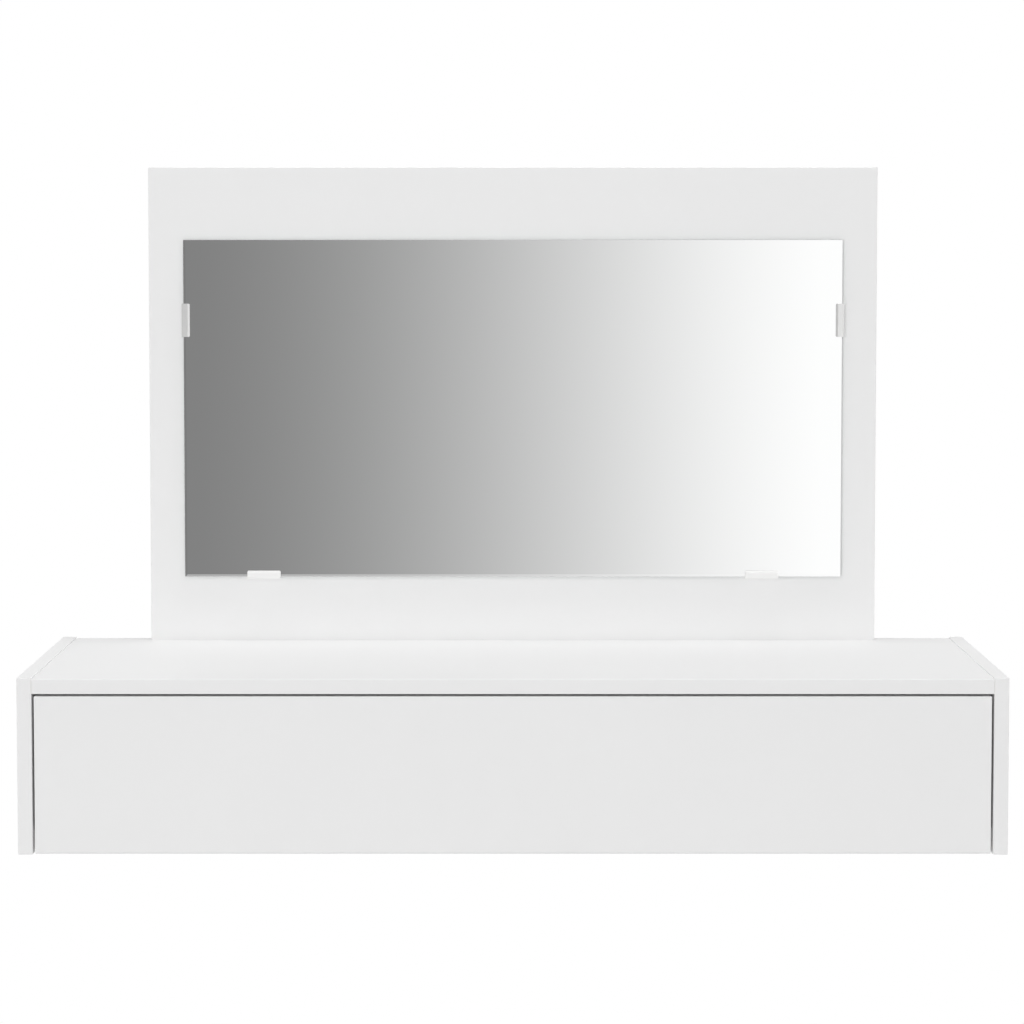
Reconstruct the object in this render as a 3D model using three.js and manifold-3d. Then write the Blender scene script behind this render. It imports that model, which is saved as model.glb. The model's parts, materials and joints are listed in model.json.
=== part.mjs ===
// Wall-hung dressing table: a shallow box with one wide drawer between two side panels,
// and a mirror panel that stands on the top board against the wall.
// Millimetres, +X to the right, +Y into the wall, +Z up. The front faces -Y.
// The origin lies on the wall plane, in the middle of the back panel's rear face.

import * as THREE from 'three';
import * as BufferGeometryUtils from 'three/addons/utils/BufferGeometryUtils.js';
import Module from 'manifold-3d';

const wasm = await Module();
wasm.setup();

// Overall sizes
const width = 1000;
const depth = 300;
const height = 700;
const boxHeight = 180;
const boardThickness = 15;
const sideLip = 1.5;

// Clearances shared by all pieces
const seatGap = 0.3;
const runningGap = 0.4;
const cutOverrun = 1;
const blindFloor = 4;

// Drawer sizes
const drawerSideReveal = 2.2;
const drawerTopReveal = 2.2;
const drawerFrontRise = 0.5;
const drawerFrontRound = 3.5;
const drawerBoard = 12;
const drawerSideRise = 25;
const drawerHeadroom = 28.5;
const drawerBackClearance = 15;
const drawerBottomThickness = 3;
const grooveDepth = 6;
const grooveRise = 10;
const housingDepth = 4;
const housingInset = 8;

// Mirror sizes
const mirrorPanelWidth = 800;
const glassWidth = 723;
const glassHeight = 371;
const glassThickness = 3;
const glassBottomMargin = 71;

// Mirror clip sizes
const clipLength = 36.5;
const clipBase = 2;
const clipBaseReach = 14;
const clipWeb = 1.6;
const clipLipReach = 6.8;
const clipLipThickness = 1.5;
const clipLipEdge = 0.4;
const clipLipBevel = 2.2;
const clipOuterBevel = 0.6;
const clipScrewInset = 8;
const bottomClipInset = 87;
const sideClipDrop = 88;

// Runner sizes
const runnerSpace = 12.5;
const runnerSteel = 1.2;
const runnerSetback = 2.5;
const runnerOverlap = 65;
const ledgeLift = 0.6;
const rollerRadius = 9;
const rollerInset = 12;
const rollerRecess = 1.6;
const rivetRadius = 3;
const rivetHeadRadius = 4.6;
const rivetHead = 1;
const stopHeight = 2;
const stopThickness = 1.2;

// Cam fitting sizes
const camRadius = 7.3;
const camFloor = 2.5;
const camInset = 24;
const camSlotLength = 9;
const camSlotWidth = 1.6;
const camSlotDepth = 1.4;
const boltThreadRadius = 2.5;
const boltShankRadius = 3.5;
const boltNeckRadius = 2.2;
const boltNeckLength = 3.5;
const boltHeadLength = 3;
const camFromEdge = 45;
const frontCamDrop = 30;

// Dowel sizes
const dowelRadius = 3;
const dowelLength = 30;
const dowelChamfer = 1;
const frontDowelRise = 28;

// Screw sizes
const panelScrewRadius = 3.5;
const panelScrewHeadRadius = 5;
const panelScrewHead = 2;
const panelScrewLength = 50;
const panelScrewInset = 80;
const clipScrewRadius = 1.5;
const clipScrewHeadRadius = 3;
const clipScrewHeadDepth = 1.5;
const backScrewRadius = 2;
const backScrewHeadRadius = 3.5;
const backScrewHeadDepth = 2.5;
const backScrewLength = 32;
const runnerScrewRadius = 1.75;
const runnerScrewHeadRadius = 3.4;
const runnerScrewHead = 1;
const runnerScrewInset = 42;
const screwTip = 3;

// Holes for the wall screws
const wallHoleRadius = 2.75;
const wallSinkRadius = 5;
const wallSinkDepth = 2.5;
const wallHoleInset = 105;
const wallHoleEdge = 40;
const mirrorHoleInset = 110;
const mirrorHoleDrop = 60;

// Number of sides on round pieces
const camSides = 20;
const rollerSides = 24;
const screwSides = 12;
const roundSteps = 5;

// Places along the height, from the lower edge of the side panels
const topBoardTop = boxHeight - sideLip;
const topBoardUnder = topBoardTop - boardThickness;
const glassLow = topBoardTop + glassBottomMargin;
const glassHigh = glassLow + glassHeight;
const drawerFrontTop = topBoardUnder - drawerTopReveal;
const drawerSideTop = topBoardUnder - drawerHeadroom;
const bottomLow = drawerSideRise + grooveRise + seatGap;
const bottomHigh = bottomLow + drawerBottomThickness;
const channelLow = drawerSideRise - runnerSteel;
const channelFloor = channelLow + runnerSteel;
const channelRoof = channelFloor + seatGap + 2 * rollerRadius + seatGap;
const channelHigh = channelRoof + runnerSteel;
const ledgeLow = channelHigh + ledgeLift;
const ledgeHigh = ledgeLow + runnerSteel;
const wallMountHeight = topBoardUnder / 2;

// Places along the width, from the middle
const sideInner = width / 2 - boardThickness;
const drawerFrontHalf = sideInner - drawerSideReveal;
const drawerOuter = sideInner - runnerSpace;
const drawerInner = drawerOuter - drawerBoard;
const mirrorHalf = mirrorPanelWidth / 2;
const glassHalf = glassWidth / 2;
const panelScrewPlace = mirrorHalf - panelScrewInset;

// Places along the depth, from the wall
const frontPlane = -depth;
const panelFace = -boardThickness;
const boardMiddle = -boardThickness / 2;
const drawerFrontBack = frontPlane + boardThickness;
const drawerRear = panelFace - drawerBackClearance;
const drawerBackRear = drawerRear - housingInset;
const drawerBackFront = drawerBackRear - drawerBoard;
const runnerFront = drawerFrontBack + runnerSetback;
const runnerRear = drawerRear - runnerSetback;
const runnerTravel = runnerRear - runnerFront - runnerOverlap;
const cabinetRollerPlace = runnerFront + rollerInset;
const drawerRollerPlace = runnerRear - rollerInset;
const glassRear = panelFace - clipBase - seatGap;
const glassFront = glassRear - glassThickness;

// Directions
const right = new THREE.Vector3(1, 0, 0);
const left = new THREE.Vector3(-1, 0, 0);
const rearward = new THREE.Vector3(0, 1, 0);
const forward = new THREE.Vector3(0, -1, 0);
const up = new THREE.Vector3(0, 0, 1);
const down = new THREE.Vector3(0, 0, -1);
const sides = [
  { name: 'left', sign: -1, outward: left, inward: right },
  { name: 'right', sign: 1, outward: right, inward: left },
];

// Materials
function paint(color, roughness, metalness) {
  return new THREE.MeshStandardMaterial({ color, roughness, metalness });
}
const whiteBoard = paint(0xf0f0f0, 0.45, 0);
const drawerBoardWhite = paint(0xe9e9e7, 0.5, 0);
const hardboard = paint(0xe4e4e2, 0.6, 0);
const mirror = paint(0xc8cdd0, 0.03, 1);
const clipPlastic = paint(0xf3f3f1, 0.4, 0);
const enamel = paint(0xeeeeea, 0.35, 0.1);
const nylon = paint(0xf5f5f0, 0.5, 0);
const zinc = paint(0xa9abad, 0.4, 0.9);
const steel = paint(0xb4b6b8, 0.3, 1);
const beech = paint(0xd2b48c, 0.7, 0);

// The finished object. Heights are counted from the box's lower edge inside it.
const dressingTable = new THREE.Group();
dressingTable.name = 'dressing_table';
const body = new THREE.Group();
body.position.z = -wallMountHeight;
dressingTable.add(body);

function addPiece(name, geometry, material) {
  geometry.computeVertexNormals();
  const mesh = new THREE.Mesh(geometry, material.clone());
  mesh.name = name;
  body.add(mesh);
}

// A rectangular block between two opposite corners
function block(from, to) {
  const geometry = new THREE.BoxGeometry(1, 1, 1);
  const position = geometry.attributes.position;
  const low = from.map((value, axis) => Math.min(value, to[axis]));
  const high = from.map((value, axis) => Math.max(value, to[axis]));
  for (let i = 0; i < position.count; i += 1) {
    const x = position.getX(i) < 0 ? low[0] : high[0];
    const y = position.getY(i) < 0 ? low[1] : high[1];
    const z = position.getZ(i) < 0 ? low[2] : high[2];
    position.setXYZ(i, x, y, z);
  }
  return geometry;
}

// A turned shape: radius and distance pairs along a direction from a point
function turned(profile, point, direction, segments) {
  const points = profile.map(([radius, along]) => new THREE.Vector2(radius, along));
  const geometry = new THREE.LatheGeometry(points, segments);
  const turn = new THREE.Quaternion().setFromUnitVectors(new THREE.Vector3(0, 1, 0), direction);
  geometry.applyQuaternion(turn);
  geometry.translate(point.x, point.y, point.z);
  return geometry;
}

// Booleans on closed shapes
function solid(geometry) {
  const bare = geometry.clone();
  bare.deleteAttribute('normal');
  bare.deleteAttribute('uv');
  const merged = BufferGeometryUtils.mergeVertices(bare);
  return new wasm.Manifold(new wasm.Mesh({
    numProp: 3,
    vertProperties: new Float32Array(merged.attributes.position.array),
    triVerts: new Uint32Array(merged.index.array),
  }));
}

function surface(shape) {
  const mesh = shape.getMesh();
  const geometry = new THREE.BufferGeometry();
  geometry.setAttribute('position', new THREE.BufferAttribute(mesh.vertProperties, 3));
  geometry.setIndex(new THREE.BufferAttribute(mesh.triVerts, 1));
  return geometry;
}

function joined(geometries) {
  return geometries.map(solid).reduce((sum, next) => sum.add(next));
}

// Bores that fittings ask for in the pieces that hold them, by the piece's name
const bores = new Map();

function bore(hosts, geometry) {
  for (const host of hosts) {
    bores.set(host, [...(bores.get(host) ?? []), geometry]);
  }
}

function addBored(name, shape, material) {
  const cutters = bores.get(name) ?? [];
  const cut = cutters.reduce((rest, cutter) => rest.subtract(solid(cutter)), shape);
  addPiece(name, surface(cut), material);
}

function addBoard(name, from, to, material) {
  addBored(name, solid(block(from, to)), material);
}

function at(x, y, z) {
  return new THREE.Vector3(x, y, z);
}

// Wood screw with a flat cone under its head; the point is the top of the head
function addSunkScrew(name, size, point, direction, hosts) {
  const { radius, headRadius, headDepth, headRim, length } = size;
  const profile = [
    [0, 0],
    [headRadius, 0],
    [headRadius, headRim],
    [radius, headDepth],
    [radius, length - screwTip],
    [0, length],
  ];
  const clearance = [
    [0, -cutOverrun],
    [headRadius + seatGap, -cutOverrun],
    [headRadius + seatGap, headRim + seatGap],
    [radius + seatGap, headDepth + seatGap],
    [radius + seatGap, length + seatGap],
    [0, length + seatGap],
  ];
  addPiece(name, turned(profile, point, direction, screwSides), steel);
  bore(hosts, turned(clearance, point, direction, screwSides));
}

// Screw with a flat head that seats on sheet steel; the point is under the head
function addFlatScrew(name, length, point, direction, hosts) {
  const profile = [
    [0, -runnerScrewHead],
    [runnerScrewHeadRadius, -runnerScrewHead],
    [runnerScrewHeadRadius, 0],
    [runnerScrewRadius, 0],
    [runnerScrewRadius, length - screwTip],
    [0, length],
  ];
  const clearance = [
    [0, 0],
    [runnerScrewRadius + seatGap, 0],
    [runnerScrewRadius + seatGap, length + seatGap],
    [0, length + seatGap],
  ];
  addPiece(name, turned(profile, point, direction, screwSides), steel);
  bore(hosts, turned(clearance, point, direction, screwSides));
}

// Cam fitting: a bolt stands in the face of one board and runs into the edge of the next,
// where a cam grips its head. The point is on the meeting plane, face is the way the cam looks.
function addCamFitting(label, { point, direction, face, faceBoard, edgeBoard, edgeThickness }) {
  const threadDepth = boardThickness - blindFloor;
  const headStart = camInset - boltHeadLength / 2;
  const neckStart = headStart - boltNeckLength;
  const headEnd = camInset + boltHeadLength / 2;
  const boltProfile = [
    [0, -threadDepth],
    [boltThreadRadius, -threadDepth],
    [boltThreadRadius, 0],
    [boltShankRadius, 0],
    [boltShankRadius, neckStart],
    [boltNeckRadius, neckStart],
    [boltNeckRadius, headStart],
    [boltShankRadius, headStart],
    [boltShankRadius, headEnd],
    [0, headEnd],
  ];
  const threadBore = [
    [0, -threadDepth - seatGap],
    [boltThreadRadius + seatGap, -threadDepth - seatGap],
    [boltThreadRadius + seatGap, cutOverrun],
    [0, cutOverrun],
  ];
  const shankBore = [
    [0, -cutOverrun],
    [boltShankRadius + seatGap, -cutOverrun],
    [boltShankRadius + seatGap, headEnd + seatGap],
    [0, headEnd + seatGap],
  ];
  addPiece(`cam_bolt_${label}`, turned(boltProfile, point, direction, screwSides), steel);
  bore([faceBoard], turned(threadBore, point, direction, screwSides));
  bore([edgeBoard], turned(shankBore, point, direction, screwSides));

  const camDepth = edgeThickness - camFloor - seatGap;
  const camCentre = point.clone().addScaledVector(direction, camInset);
  const camFace = camCentre.clone().addScaledVector(face, edgeThickness / 2);
  const inward = face.clone().negate();
  const camProfile = [
    [0, 0],
    [camRadius, 0],
    [camRadius, camDepth],
    [0, camDepth],
  ];
  const camBore = [
    [0, -cutOverrun],
    [camRadius + seatGap, -cutOverrun],
    [camRadius + seatGap, camDepth + seatGap],
    [0, camDepth + seatGap],
  ];
  const acrossFace = new THREE.Vector3().crossVectors(direction, face);
  const slot = (along, across) => {
    const reach = along.clone().multiplyScalar(camSlotLength / 2);
    const half = across.clone().multiplyScalar(camSlotWidth / 2);
    const low = camFace.clone().sub(reach).sub(half).addScaledVector(face, cutOverrun);
    const high = camFace.clone().add(reach).add(half).addScaledVector(inward, camSlotDepth);
    return solid(block(low.toArray(), high.toArray()));
  };
  const cam = solid(turned(camProfile, camFace, inward, camSides))
    .subtract(solid(turned(shankBore, point, direction, screwSides)))
    .subtract(slot(direction, acrossFace))
    .subtract(slot(acrossFace, direction));
  addPiece(`cam_${label}`, surface(cam), zinc);
  bore([edgeBoard], turned(camBore, camFace, inward, camSides));
}

// Dowel across a meeting plane, set deeper into the edge than into the face
function addDowel(label, point, direction, hosts) {
  const low = seatGap - (boardThickness - blindFloor);
  const high = low + dowelLength;
  const tipRadius = dowelRadius - dowelChamfer;
  const profile = [
    [0, low],
    [tipRadius, low],
    [dowelRadius, low + dowelChamfer],
    [dowelRadius, high - dowelChamfer],
    [tipRadius, high],
    [0, high],
  ];
  const clearance = [
    [0, low - seatGap],
    [dowelRadius + seatGap, low - seatGap],
    [dowelRadius + seatGap, high + seatGap],
    [0, high + seatGap],
  ];
  addPiece(`dowel_${label}`, turned(profile, point, direction, screwSides), beech);
  bore(hosts, turned(clearance, point, direction, screwSides));
}

// Countersunk through hole for a screw into the wall; the point is on the front face
function boreForWallScrew(host, x, z) {
  const profile = [
    [0, -cutOverrun],
    [wallSinkRadius, -cutOverrun],
    [wallSinkRadius, 0],
    [wallHoleRadius, wallSinkDepth],
    [wallHoleRadius, boardThickness + cutOverrun],
    [0, boardThickness + cutOverrun],
  ];
  bore([host], turned(profile, at(x, panelFace, z), rearward, screwSides));
}

// Roller with a recess for its rivet's head; it turns about X and the recess faces the given way
function addRoller(name, start, facing) {
  const rollerWidth = runnerSpace - 2 * runnerSteel - runnerScrewHead - 2 * runningGap;
  const hole = rivetRadius + seatGap;
  const recess = rivetHeadRadius + seatGap;
  const profile = [
    [hole, 0],
    [rollerRadius, 0],
    [rollerRadius, rollerWidth],
    [recess, rollerWidth],
    [recess, rollerWidth - rollerRecess],
    [hole, rollerWidth - rollerRecess],
    [hole, 0],
  ];
  addPiece(name, turned(profile, start, facing, rollerSides), nylon);
  return rollerWidth;
}

// Rivet that carries a roller: it stands on a steel face and its head sits in the recess
function rivet(base, facing, rollerWidth) {
  const headStart = runningGap + rollerWidth - rollerRecess + seatGap;
  const profile = [
    [0, -runnerSteel / 2],
    [rivetRadius, -runnerSteel / 2],
    [rivetRadius, headStart],
    [rivetHeadRadius, headStart],
    [rivetHeadRadius, headStart + rivetHead],
    [0, headStart + rivetHead],
  ];
  return turned(profile, base, facing, screwSides);
}

// Runners: a channel on each side panel and an angle with a ledge on each drawer side
for (const { name, sign, outward, inward } of sides) {
  const across = (fromPanel) => sign * (sideInner - fromPanel);
  const webFace = runnerSteel;
  const flangeEdge = runnerSpace - runnerSteel - seatGap;
  const angleFace = runnerSpace - runnerSteel;
  const drawerRollerHeight = channelFloor + seatGap + rollerRadius;
  const cabinetRollerHeight = ledgeLow - seatGap - rollerRadius;
  const stopReach = Math.sqrt(rollerRadius ** 2 - (rollerRadius + seatGap - stopHeight) ** 2) + seatGap;
  const roofFront = cabinetRollerPlace + rollerRadius + cutOverrun;
  const shelfReach = runnerSpace + drawerBoard - seatGap;

  const cabinetRollerStart = at(across(webFace + runningGap), cabinetRollerPlace, cabinetRollerHeight);
  const rollerWidth = addRoller(`cabinet_roller_${name}`, cabinetRollerStart, inward);
  const drawerRollerStart = at(across(angleFace - runningGap), drawerRollerPlace, drawerRollerHeight);
  addRoller(`drawer_roller_${name}`, drawerRollerStart, outward);

  const screwLength = runnerSteel + boardThickness - blindFloor;
  const screwPlaces = [
    ['front', runnerFront + runnerScrewInset],
    ['rear', runnerRear - runnerScrewInset],
  ];
  for (const [place, y] of screwPlaces) {
    const onWeb = at(across(webFace), y, (channelFloor + channelRoof) / 2);
    addFlatScrew(`cabinet_runner_screw_${name}_${place}`, screwLength, onWeb, outward,
      [`cabinet_runner_${name}`, `side_panel_${name}`]);
    const onShelf = at(across(runnerSpace + drawerBoard / 2), y, channelLow);
    addFlatScrew(`drawer_runner_screw_${name}_${place}`, screwLength, onShelf, up,
      [`drawer_runner_${name}`, `drawer_side_${name}`]);
  }

  const stop = (rear) => block(
    [across(webFace / 2), rear - stopThickness, channelFloor - runnerSteel / 2],
    [across(flangeEdge), rear, channelFloor + stopHeight]);
  const channel = joined([
    block([across(0), runnerFront, channelLow], [across(webFace), runnerRear, channelHigh]),
    block([across(0), runnerFront, channelLow], [across(flangeEdge), runnerRear, channelFloor]),
    block([across(0), roofFront, channelRoof], [across(flangeEdge), runnerRear, channelHigh]),
    stop(drawerRollerPlace - runnerTravel - stopReach),
    stop(drawerRollerPlace + stopReach + stopThickness),
    rivet(at(across(webFace), cabinetRollerPlace, cabinetRollerHeight), inward, rollerWidth),
  ]);
  addBored(`cabinet_runner_${name}`, channel, enamel);

  const angle = joined([
    block([across(angleFace), runnerFront, channelLow], [across(runnerSpace), runnerRear, ledgeHigh]),
    block([across(angleFace), runnerFront, channelLow], [across(shelfReach), runnerRear, drawerSideRise]),
    block([across(webFace + seatGap), runnerFront, ledgeLow],
      [across(runnerSpace), runnerRear, ledgeHigh]),
    rivet(at(across(angleFace), drawerRollerPlace, drawerRollerHeight), outward, rollerWidth),
  ]);
  addBored(`drawer_runner_${name}`, angle, enamel);
}

// Fittings between the boards of the box
for (const { name, sign, inward } of sides) {
  const plane = sign * sideInner;
  const panel = `side_panel_${name}`;
  for (const [place, y] of [['front', frontPlane + camFromEdge], ['rear', -camFromEdge]]) {
    addCamFitting(`top_${name}_${place}`, {
      point: at(plane, y, topBoardUnder + boardThickness / 2),
      direction: inward,
      face: down,
      faceBoard: panel,
      edgeBoard: 'top_board',
      edgeThickness: boardThickness,
    });
  }
  addCamFitting(`back_${name}`, {
    point: at(plane, boardMiddle, topBoardUnder / 2),
    direction: inward,
    face: forward,
    faceBoard: panel,
    edgeBoard: 'back_panel',
    edgeThickness: boardThickness,
  });
  const dowelPoint = at(sign * panelScrewPlace / 2, boardMiddle, topBoardUnder);
  addDowel(`back_${name}`, dowelPoint, down, ['top_board', 'back_panel']);
  for (const z of [wallHoleEdge, topBoardUnder - wallHoleEdge]) {
    boreForWallScrew('back_panel', sign * (sideInner - wallHoleInset), z);
  }
  boreForWallScrew('mirror_panel', sign * (glassHalf - mirrorHoleInset), glassHigh - mirrorHoleDrop);
}

// Fittings between the boards of the drawer
for (const { name, sign, inward } of sides) {
  const middle = sign * (drawerInner + drawerBoard / 2);
  const side = `drawer_side_${name}`;
  addCamFitting(`drawer_${name}`, {
    point: at(middle, drawerFrontBack, drawerSideTop - frontCamDrop),
    direction: rearward,
    face: inward,
    faceBoard: 'drawer_front',
    edgeBoard: side,
    edgeThickness: drawerBoard,
  });
  const dowelPoint = at(middle, drawerFrontBack, drawerSideRise + frontDowelRise);
  addDowel(`drawer_${name}`, dowelPoint, rearward, ['drawer_front', side]);
  const backScrew = {
    radius: backScrewRadius,
    headRadius: backScrewHeadRadius,
    headDepth: backScrewHeadDepth,
    headRim: seatGap,
    length: backScrewLength,
  };
  const backScrewPoint = at(sign * (drawerOuter - seatGap), (drawerBackRear + drawerBackFront) / 2,
    (bottomHigh + drawerSideTop) / 2);
  addSunkScrew(`drawer_back_screw_${name}`, backScrew, backScrewPoint, inward, [side, 'drawer_back']);
}

// Screws that stand the mirror panel on the top board
const panelScrew = {
  radius: panelScrewRadius,
  headRadius: panelScrewHeadRadius,
  headDepth: panelScrewHead + panelScrewHeadRadius - panelScrewRadius,
  headRim: panelScrewHead,
  length: panelScrewLength,
};
for (const [name, x] of [['left', -panelScrewPlace], ['middle', 0], ['right', panelScrewPlace]]) {
  addSunkScrew(`mirror_panel_screw_${name}`, panelScrew, at(x, boardMiddle, topBoardUnder + seatGap), up,
    ['top_board', 'mirror_panel']);
}

// Mirror clips: a hooked section whose base lies under the glass and whose lip holds its edge
function addMirrorClip(label, edgePoint, outward) {
  const outer = seatGap + clipWeb;
  const lipUnder = clipBase + 2 * seatGap + glassThickness;
  const lipTop = lipUnder + clipLipThickness;
  const section = new THREE.Shape([
    new THREE.Vector2(-clipBaseReach, 0),
    new THREE.Vector2(outer, 0),
    new THREE.Vector2(outer, lipTop - clipOuterBevel),
    new THREE.Vector2(outer - clipOuterBevel, lipTop),
    new THREE.Vector2(clipLipBevel - clipLipReach, lipTop),
    new THREE.Vector2(-clipLipReach, lipUnder + clipLipEdge),
    new THREE.Vector2(-clipLipReach, lipUnder),
    new THREE.Vector2(seatGap, lipUnder),
    new THREE.Vector2(seatGap, clipBase),
    new THREE.Vector2(-clipBaseReach, clipBase),
  ]);
  const geometry = new THREE.ExtrudeGeometry(section, { depth: clipLength, bevelEnabled: false });
  geometry.translate(0, 0, -clipLength / 2);
  const along = new THREE.Vector3().crossVectors(outward, forward);
  geometry.applyMatrix4(new THREE.Matrix4().makeBasis(outward, forward, along));
  geometry.translate(edgePoint.x, edgePoint.y, edgePoint.z);

  const screw = {
    radius: clipScrewRadius,
    headRadius: clipScrewHeadRadius,
    headDepth: clipScrewHeadDepth,
    headRim: 0,
    length: clipBase + boardThickness - blindFloor,
  };
  const screwPoint = edgePoint.clone();
  screwPoint.addScaledVector(outward, -clipScrewInset);
  screwPoint.addScaledVector(forward, clipBase);
  addSunkScrew(`clip_screw_${label}`, screw, screwPoint, rearward,
    [`mirror_clip_${label}`, 'mirror_panel']);
  addBored(`mirror_clip_${label}`, solid(geometry), clipPlastic);
}
for (const { name, sign, outward } of sides) {
  addMirrorClip(`${name}`, at(sign * glassHalf, panelFace, glassHigh - sideClipDrop), outward);
  addMirrorClip(`bottom_${name}`, at(sign * (glassHalf - bottomClipInset), panelFace, glassLow), down);
}

// Boards of the box
addBoard('top_board', [-sideInner, frontPlane, topBoardUnder], [sideInner, 0, topBoardTop], whiteBoard);
addBoard('back_panel', [-sideInner, panelFace, 0], [sideInner, 0, topBoardUnder], whiteBoard);
for (const { name, sign } of sides) {
  const low = [sign * sideInner, frontPlane, 0];
  addBoard(`side_panel_${name}`, low, [sign * width / 2, 0, boxHeight], whiteBoard);
}

// Mirror
addBoard('mirror_panel', [-mirrorHalf, panelFace, topBoardTop], [mirrorHalf, 0, height], whiteBoard);
addBoard('mirror_glass', [-glassHalf, glassFront, glassLow], [glassHalf, glassRear, glassHigh], mirror);

// Drawer boards. The bottom slides in grooves, and the back stands on it in upright housings.
function roundedFront() {
  const section = new THREE.Shape();
  section.moveTo(drawerFrontBack, drawerFrontRise);
  section.lineTo(drawerFrontBack, drawerFrontTop);
  section.lineTo(frontPlane, drawerFrontTop);
  section.lineTo(frontPlane, drawerFrontRise + drawerFrontRound);
  section.absarc(frontPlane + drawerFrontRound, drawerFrontRise + drawerFrontRound, drawerFrontRound,
    Math.PI, 3 * Math.PI / 2, false);
  section.lineTo(drawerFrontBack, drawerFrontRise);
  const geometry = new THREE.ExtrudeGeometry(section,
    { depth: 2 * drawerFrontHalf, bevelEnabled: false, curveSegments: roundSteps });
  geometry.translate(0, 0, -drawerFrontHalf);
  geometry.applyMatrix4(new THREE.Matrix4().makeBasis(rearward, up, right));
  return geometry;
}
const groove = block(
  [-drawerInner - grooveDepth, drawerFrontBack - grooveDepth, bottomLow - seatGap],
  [drawerInner + grooveDepth, drawerRear + cutOverrun, bottomHigh + seatGap]);
const housing = block(
  [-drawerInner - housingDepth, drawerBackFront - seatGap, bottomHigh],
  [drawerInner + housingDepth, drawerBackRear + seatGap, drawerSideTop + cutOverrun]);
bore(['drawer_front', 'drawer_side_left', 'drawer_side_right'], groove);
bore(['drawer_side_left', 'drawer_side_right'], housing);
addBored('drawer_front', solid(roundedFront()), whiteBoard);
for (const { name, sign } of sides) {
  const low = [sign * drawerInner, drawerFrontBack, drawerSideRise];
  addBoard(`drawer_side_${name}`, low, [sign * drawerOuter, drawerRear, drawerSideTop], drawerBoardWhite);
}
const backHalf = drawerInner + housingDepth - seatGap;
addBoard('drawer_back', [-backHalf, drawerBackFront, bottomHigh + seatGap],
  [backHalf, drawerBackRear, drawerSideTop], drawerBoardWhite);
const bottomHalf = drawerInner + grooveDepth - seatGap;
const bottomFront = drawerFrontBack - grooveDepth + seatGap;
addBoard('drawer_bottom', [-bottomHalf, bottomFront, bottomLow], [bottomHalf, drawerBackRear, bottomHigh],
  hardboard);

export default dressingTable;
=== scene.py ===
import json
import math
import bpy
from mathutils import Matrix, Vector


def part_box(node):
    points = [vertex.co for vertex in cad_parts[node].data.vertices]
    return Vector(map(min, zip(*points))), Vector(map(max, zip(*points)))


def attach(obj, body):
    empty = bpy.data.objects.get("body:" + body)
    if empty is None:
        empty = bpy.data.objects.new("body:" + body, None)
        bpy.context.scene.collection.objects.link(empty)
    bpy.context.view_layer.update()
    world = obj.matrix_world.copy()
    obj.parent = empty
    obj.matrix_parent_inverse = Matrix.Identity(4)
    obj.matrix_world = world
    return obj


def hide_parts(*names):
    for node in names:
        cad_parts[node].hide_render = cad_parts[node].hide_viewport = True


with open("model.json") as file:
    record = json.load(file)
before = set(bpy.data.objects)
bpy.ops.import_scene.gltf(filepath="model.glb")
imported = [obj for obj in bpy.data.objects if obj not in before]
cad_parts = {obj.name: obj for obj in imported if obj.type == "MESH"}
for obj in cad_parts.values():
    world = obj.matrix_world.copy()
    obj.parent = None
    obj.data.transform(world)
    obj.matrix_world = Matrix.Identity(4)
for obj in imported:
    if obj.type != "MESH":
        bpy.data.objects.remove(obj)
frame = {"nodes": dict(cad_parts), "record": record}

from types import SimpleNamespace

import bmesh
import bpy
from mathutils import Quaternion, Vector

bl_info = {
    "name": "Wall-hung dressing table",
    "version": (1, 0, 0),
    "blender": (4, 5, 0),
    "location": "3D View > Sidebar > Dressing table",
    "description": "Models the boards, the mirror, the drawer, its runners and fittings, and the studio",
    "category": "Add Mesh",
}

# Every length is in metres; the frame's boxes give each piece its place
MM = 0.001
SLOT_COLOURS = {slot["slot"]: slot["base_color"] for slot in frame["record"]["materials"]}

# Names, directions, and the factors that take a place to the table's other side
PREFIX = "finished_"
SIDES = ("left", "right")
ENDS = ("front", "rear")
THIRDS = ("left", "middle", "right")
CLIP_PLACES = ("left", "right", "bottom_left", "bottom_right")
LEFTWARD = Vector((-1, 0, 0))
RIGHTWARD = Vector((1, 0, 0))
FORWARD = Vector((0, -1, 0))
REARWARD = Vector((0, 1, 0))
UP = Vector((0, 0, 1))
DOWN = Vector((0, 0, -1))
OTHER_SIDE = Vector((-1, 1, 1))
X, Y, Z = 0, 1, 2

# Clearances
SEAT_GAP = 0.3 * MM
RUNNING_GAP = 0.4 * MM
OVERRUN = 1 * MM
SAME_PLACE = 0.01 * MM
DOUBLE = 0.1 * SAME_PLACE

# Cosines of faces that look straight, mostly or half along a direction, and angles between faces
STRAIGHT = 0.999
MOSTLY = 0.9
HALF_UP = 0.5
CORNER_ANGLE = math.radians(40)
ARRIS_ANGLE = math.radians(50)
SMOOTH_ANGLE = math.radians(32)
CLIP_SMOOTH_ANGLE = math.radians(24)
GLASS_SMOOTH_ANGLE = math.radians(1)

# Steps of round forms
BORE_SIDES = 32
ROUND_SIDES = 48
CHAMFER_STEPS = 1
ARRIS_STEPS = 2
ROUND_STEPS = 3
FOLD_STEPS = 4
FINE_STEPS = 5
SOFT_STEPS = 8

# Boards
RAW_ARRIS = 0.15 * MM
SIDE_TOP_ROUNDING = 2 * MM
SIDE_FOOT_ROUNDING = 0.8 * MM
GROOVE_DEPTH = 6 * MM
HOUSING_DEPTH = 4 * MM
THREAD_RADIUS = 2.5 * MM
WALL_SCREW = SimpleNamespace(hole=2.75 * MM, sink=5 * MM, sink_depth=2.5 * MM)
WALL_HOLE_INSET = 105 * MM
WALL_HOLE_EDGE = 40 * MM
MIRROR_HOLE_INSET = 110 * MM
MIRROR_HOLE_DROP = 60 * MM

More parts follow.
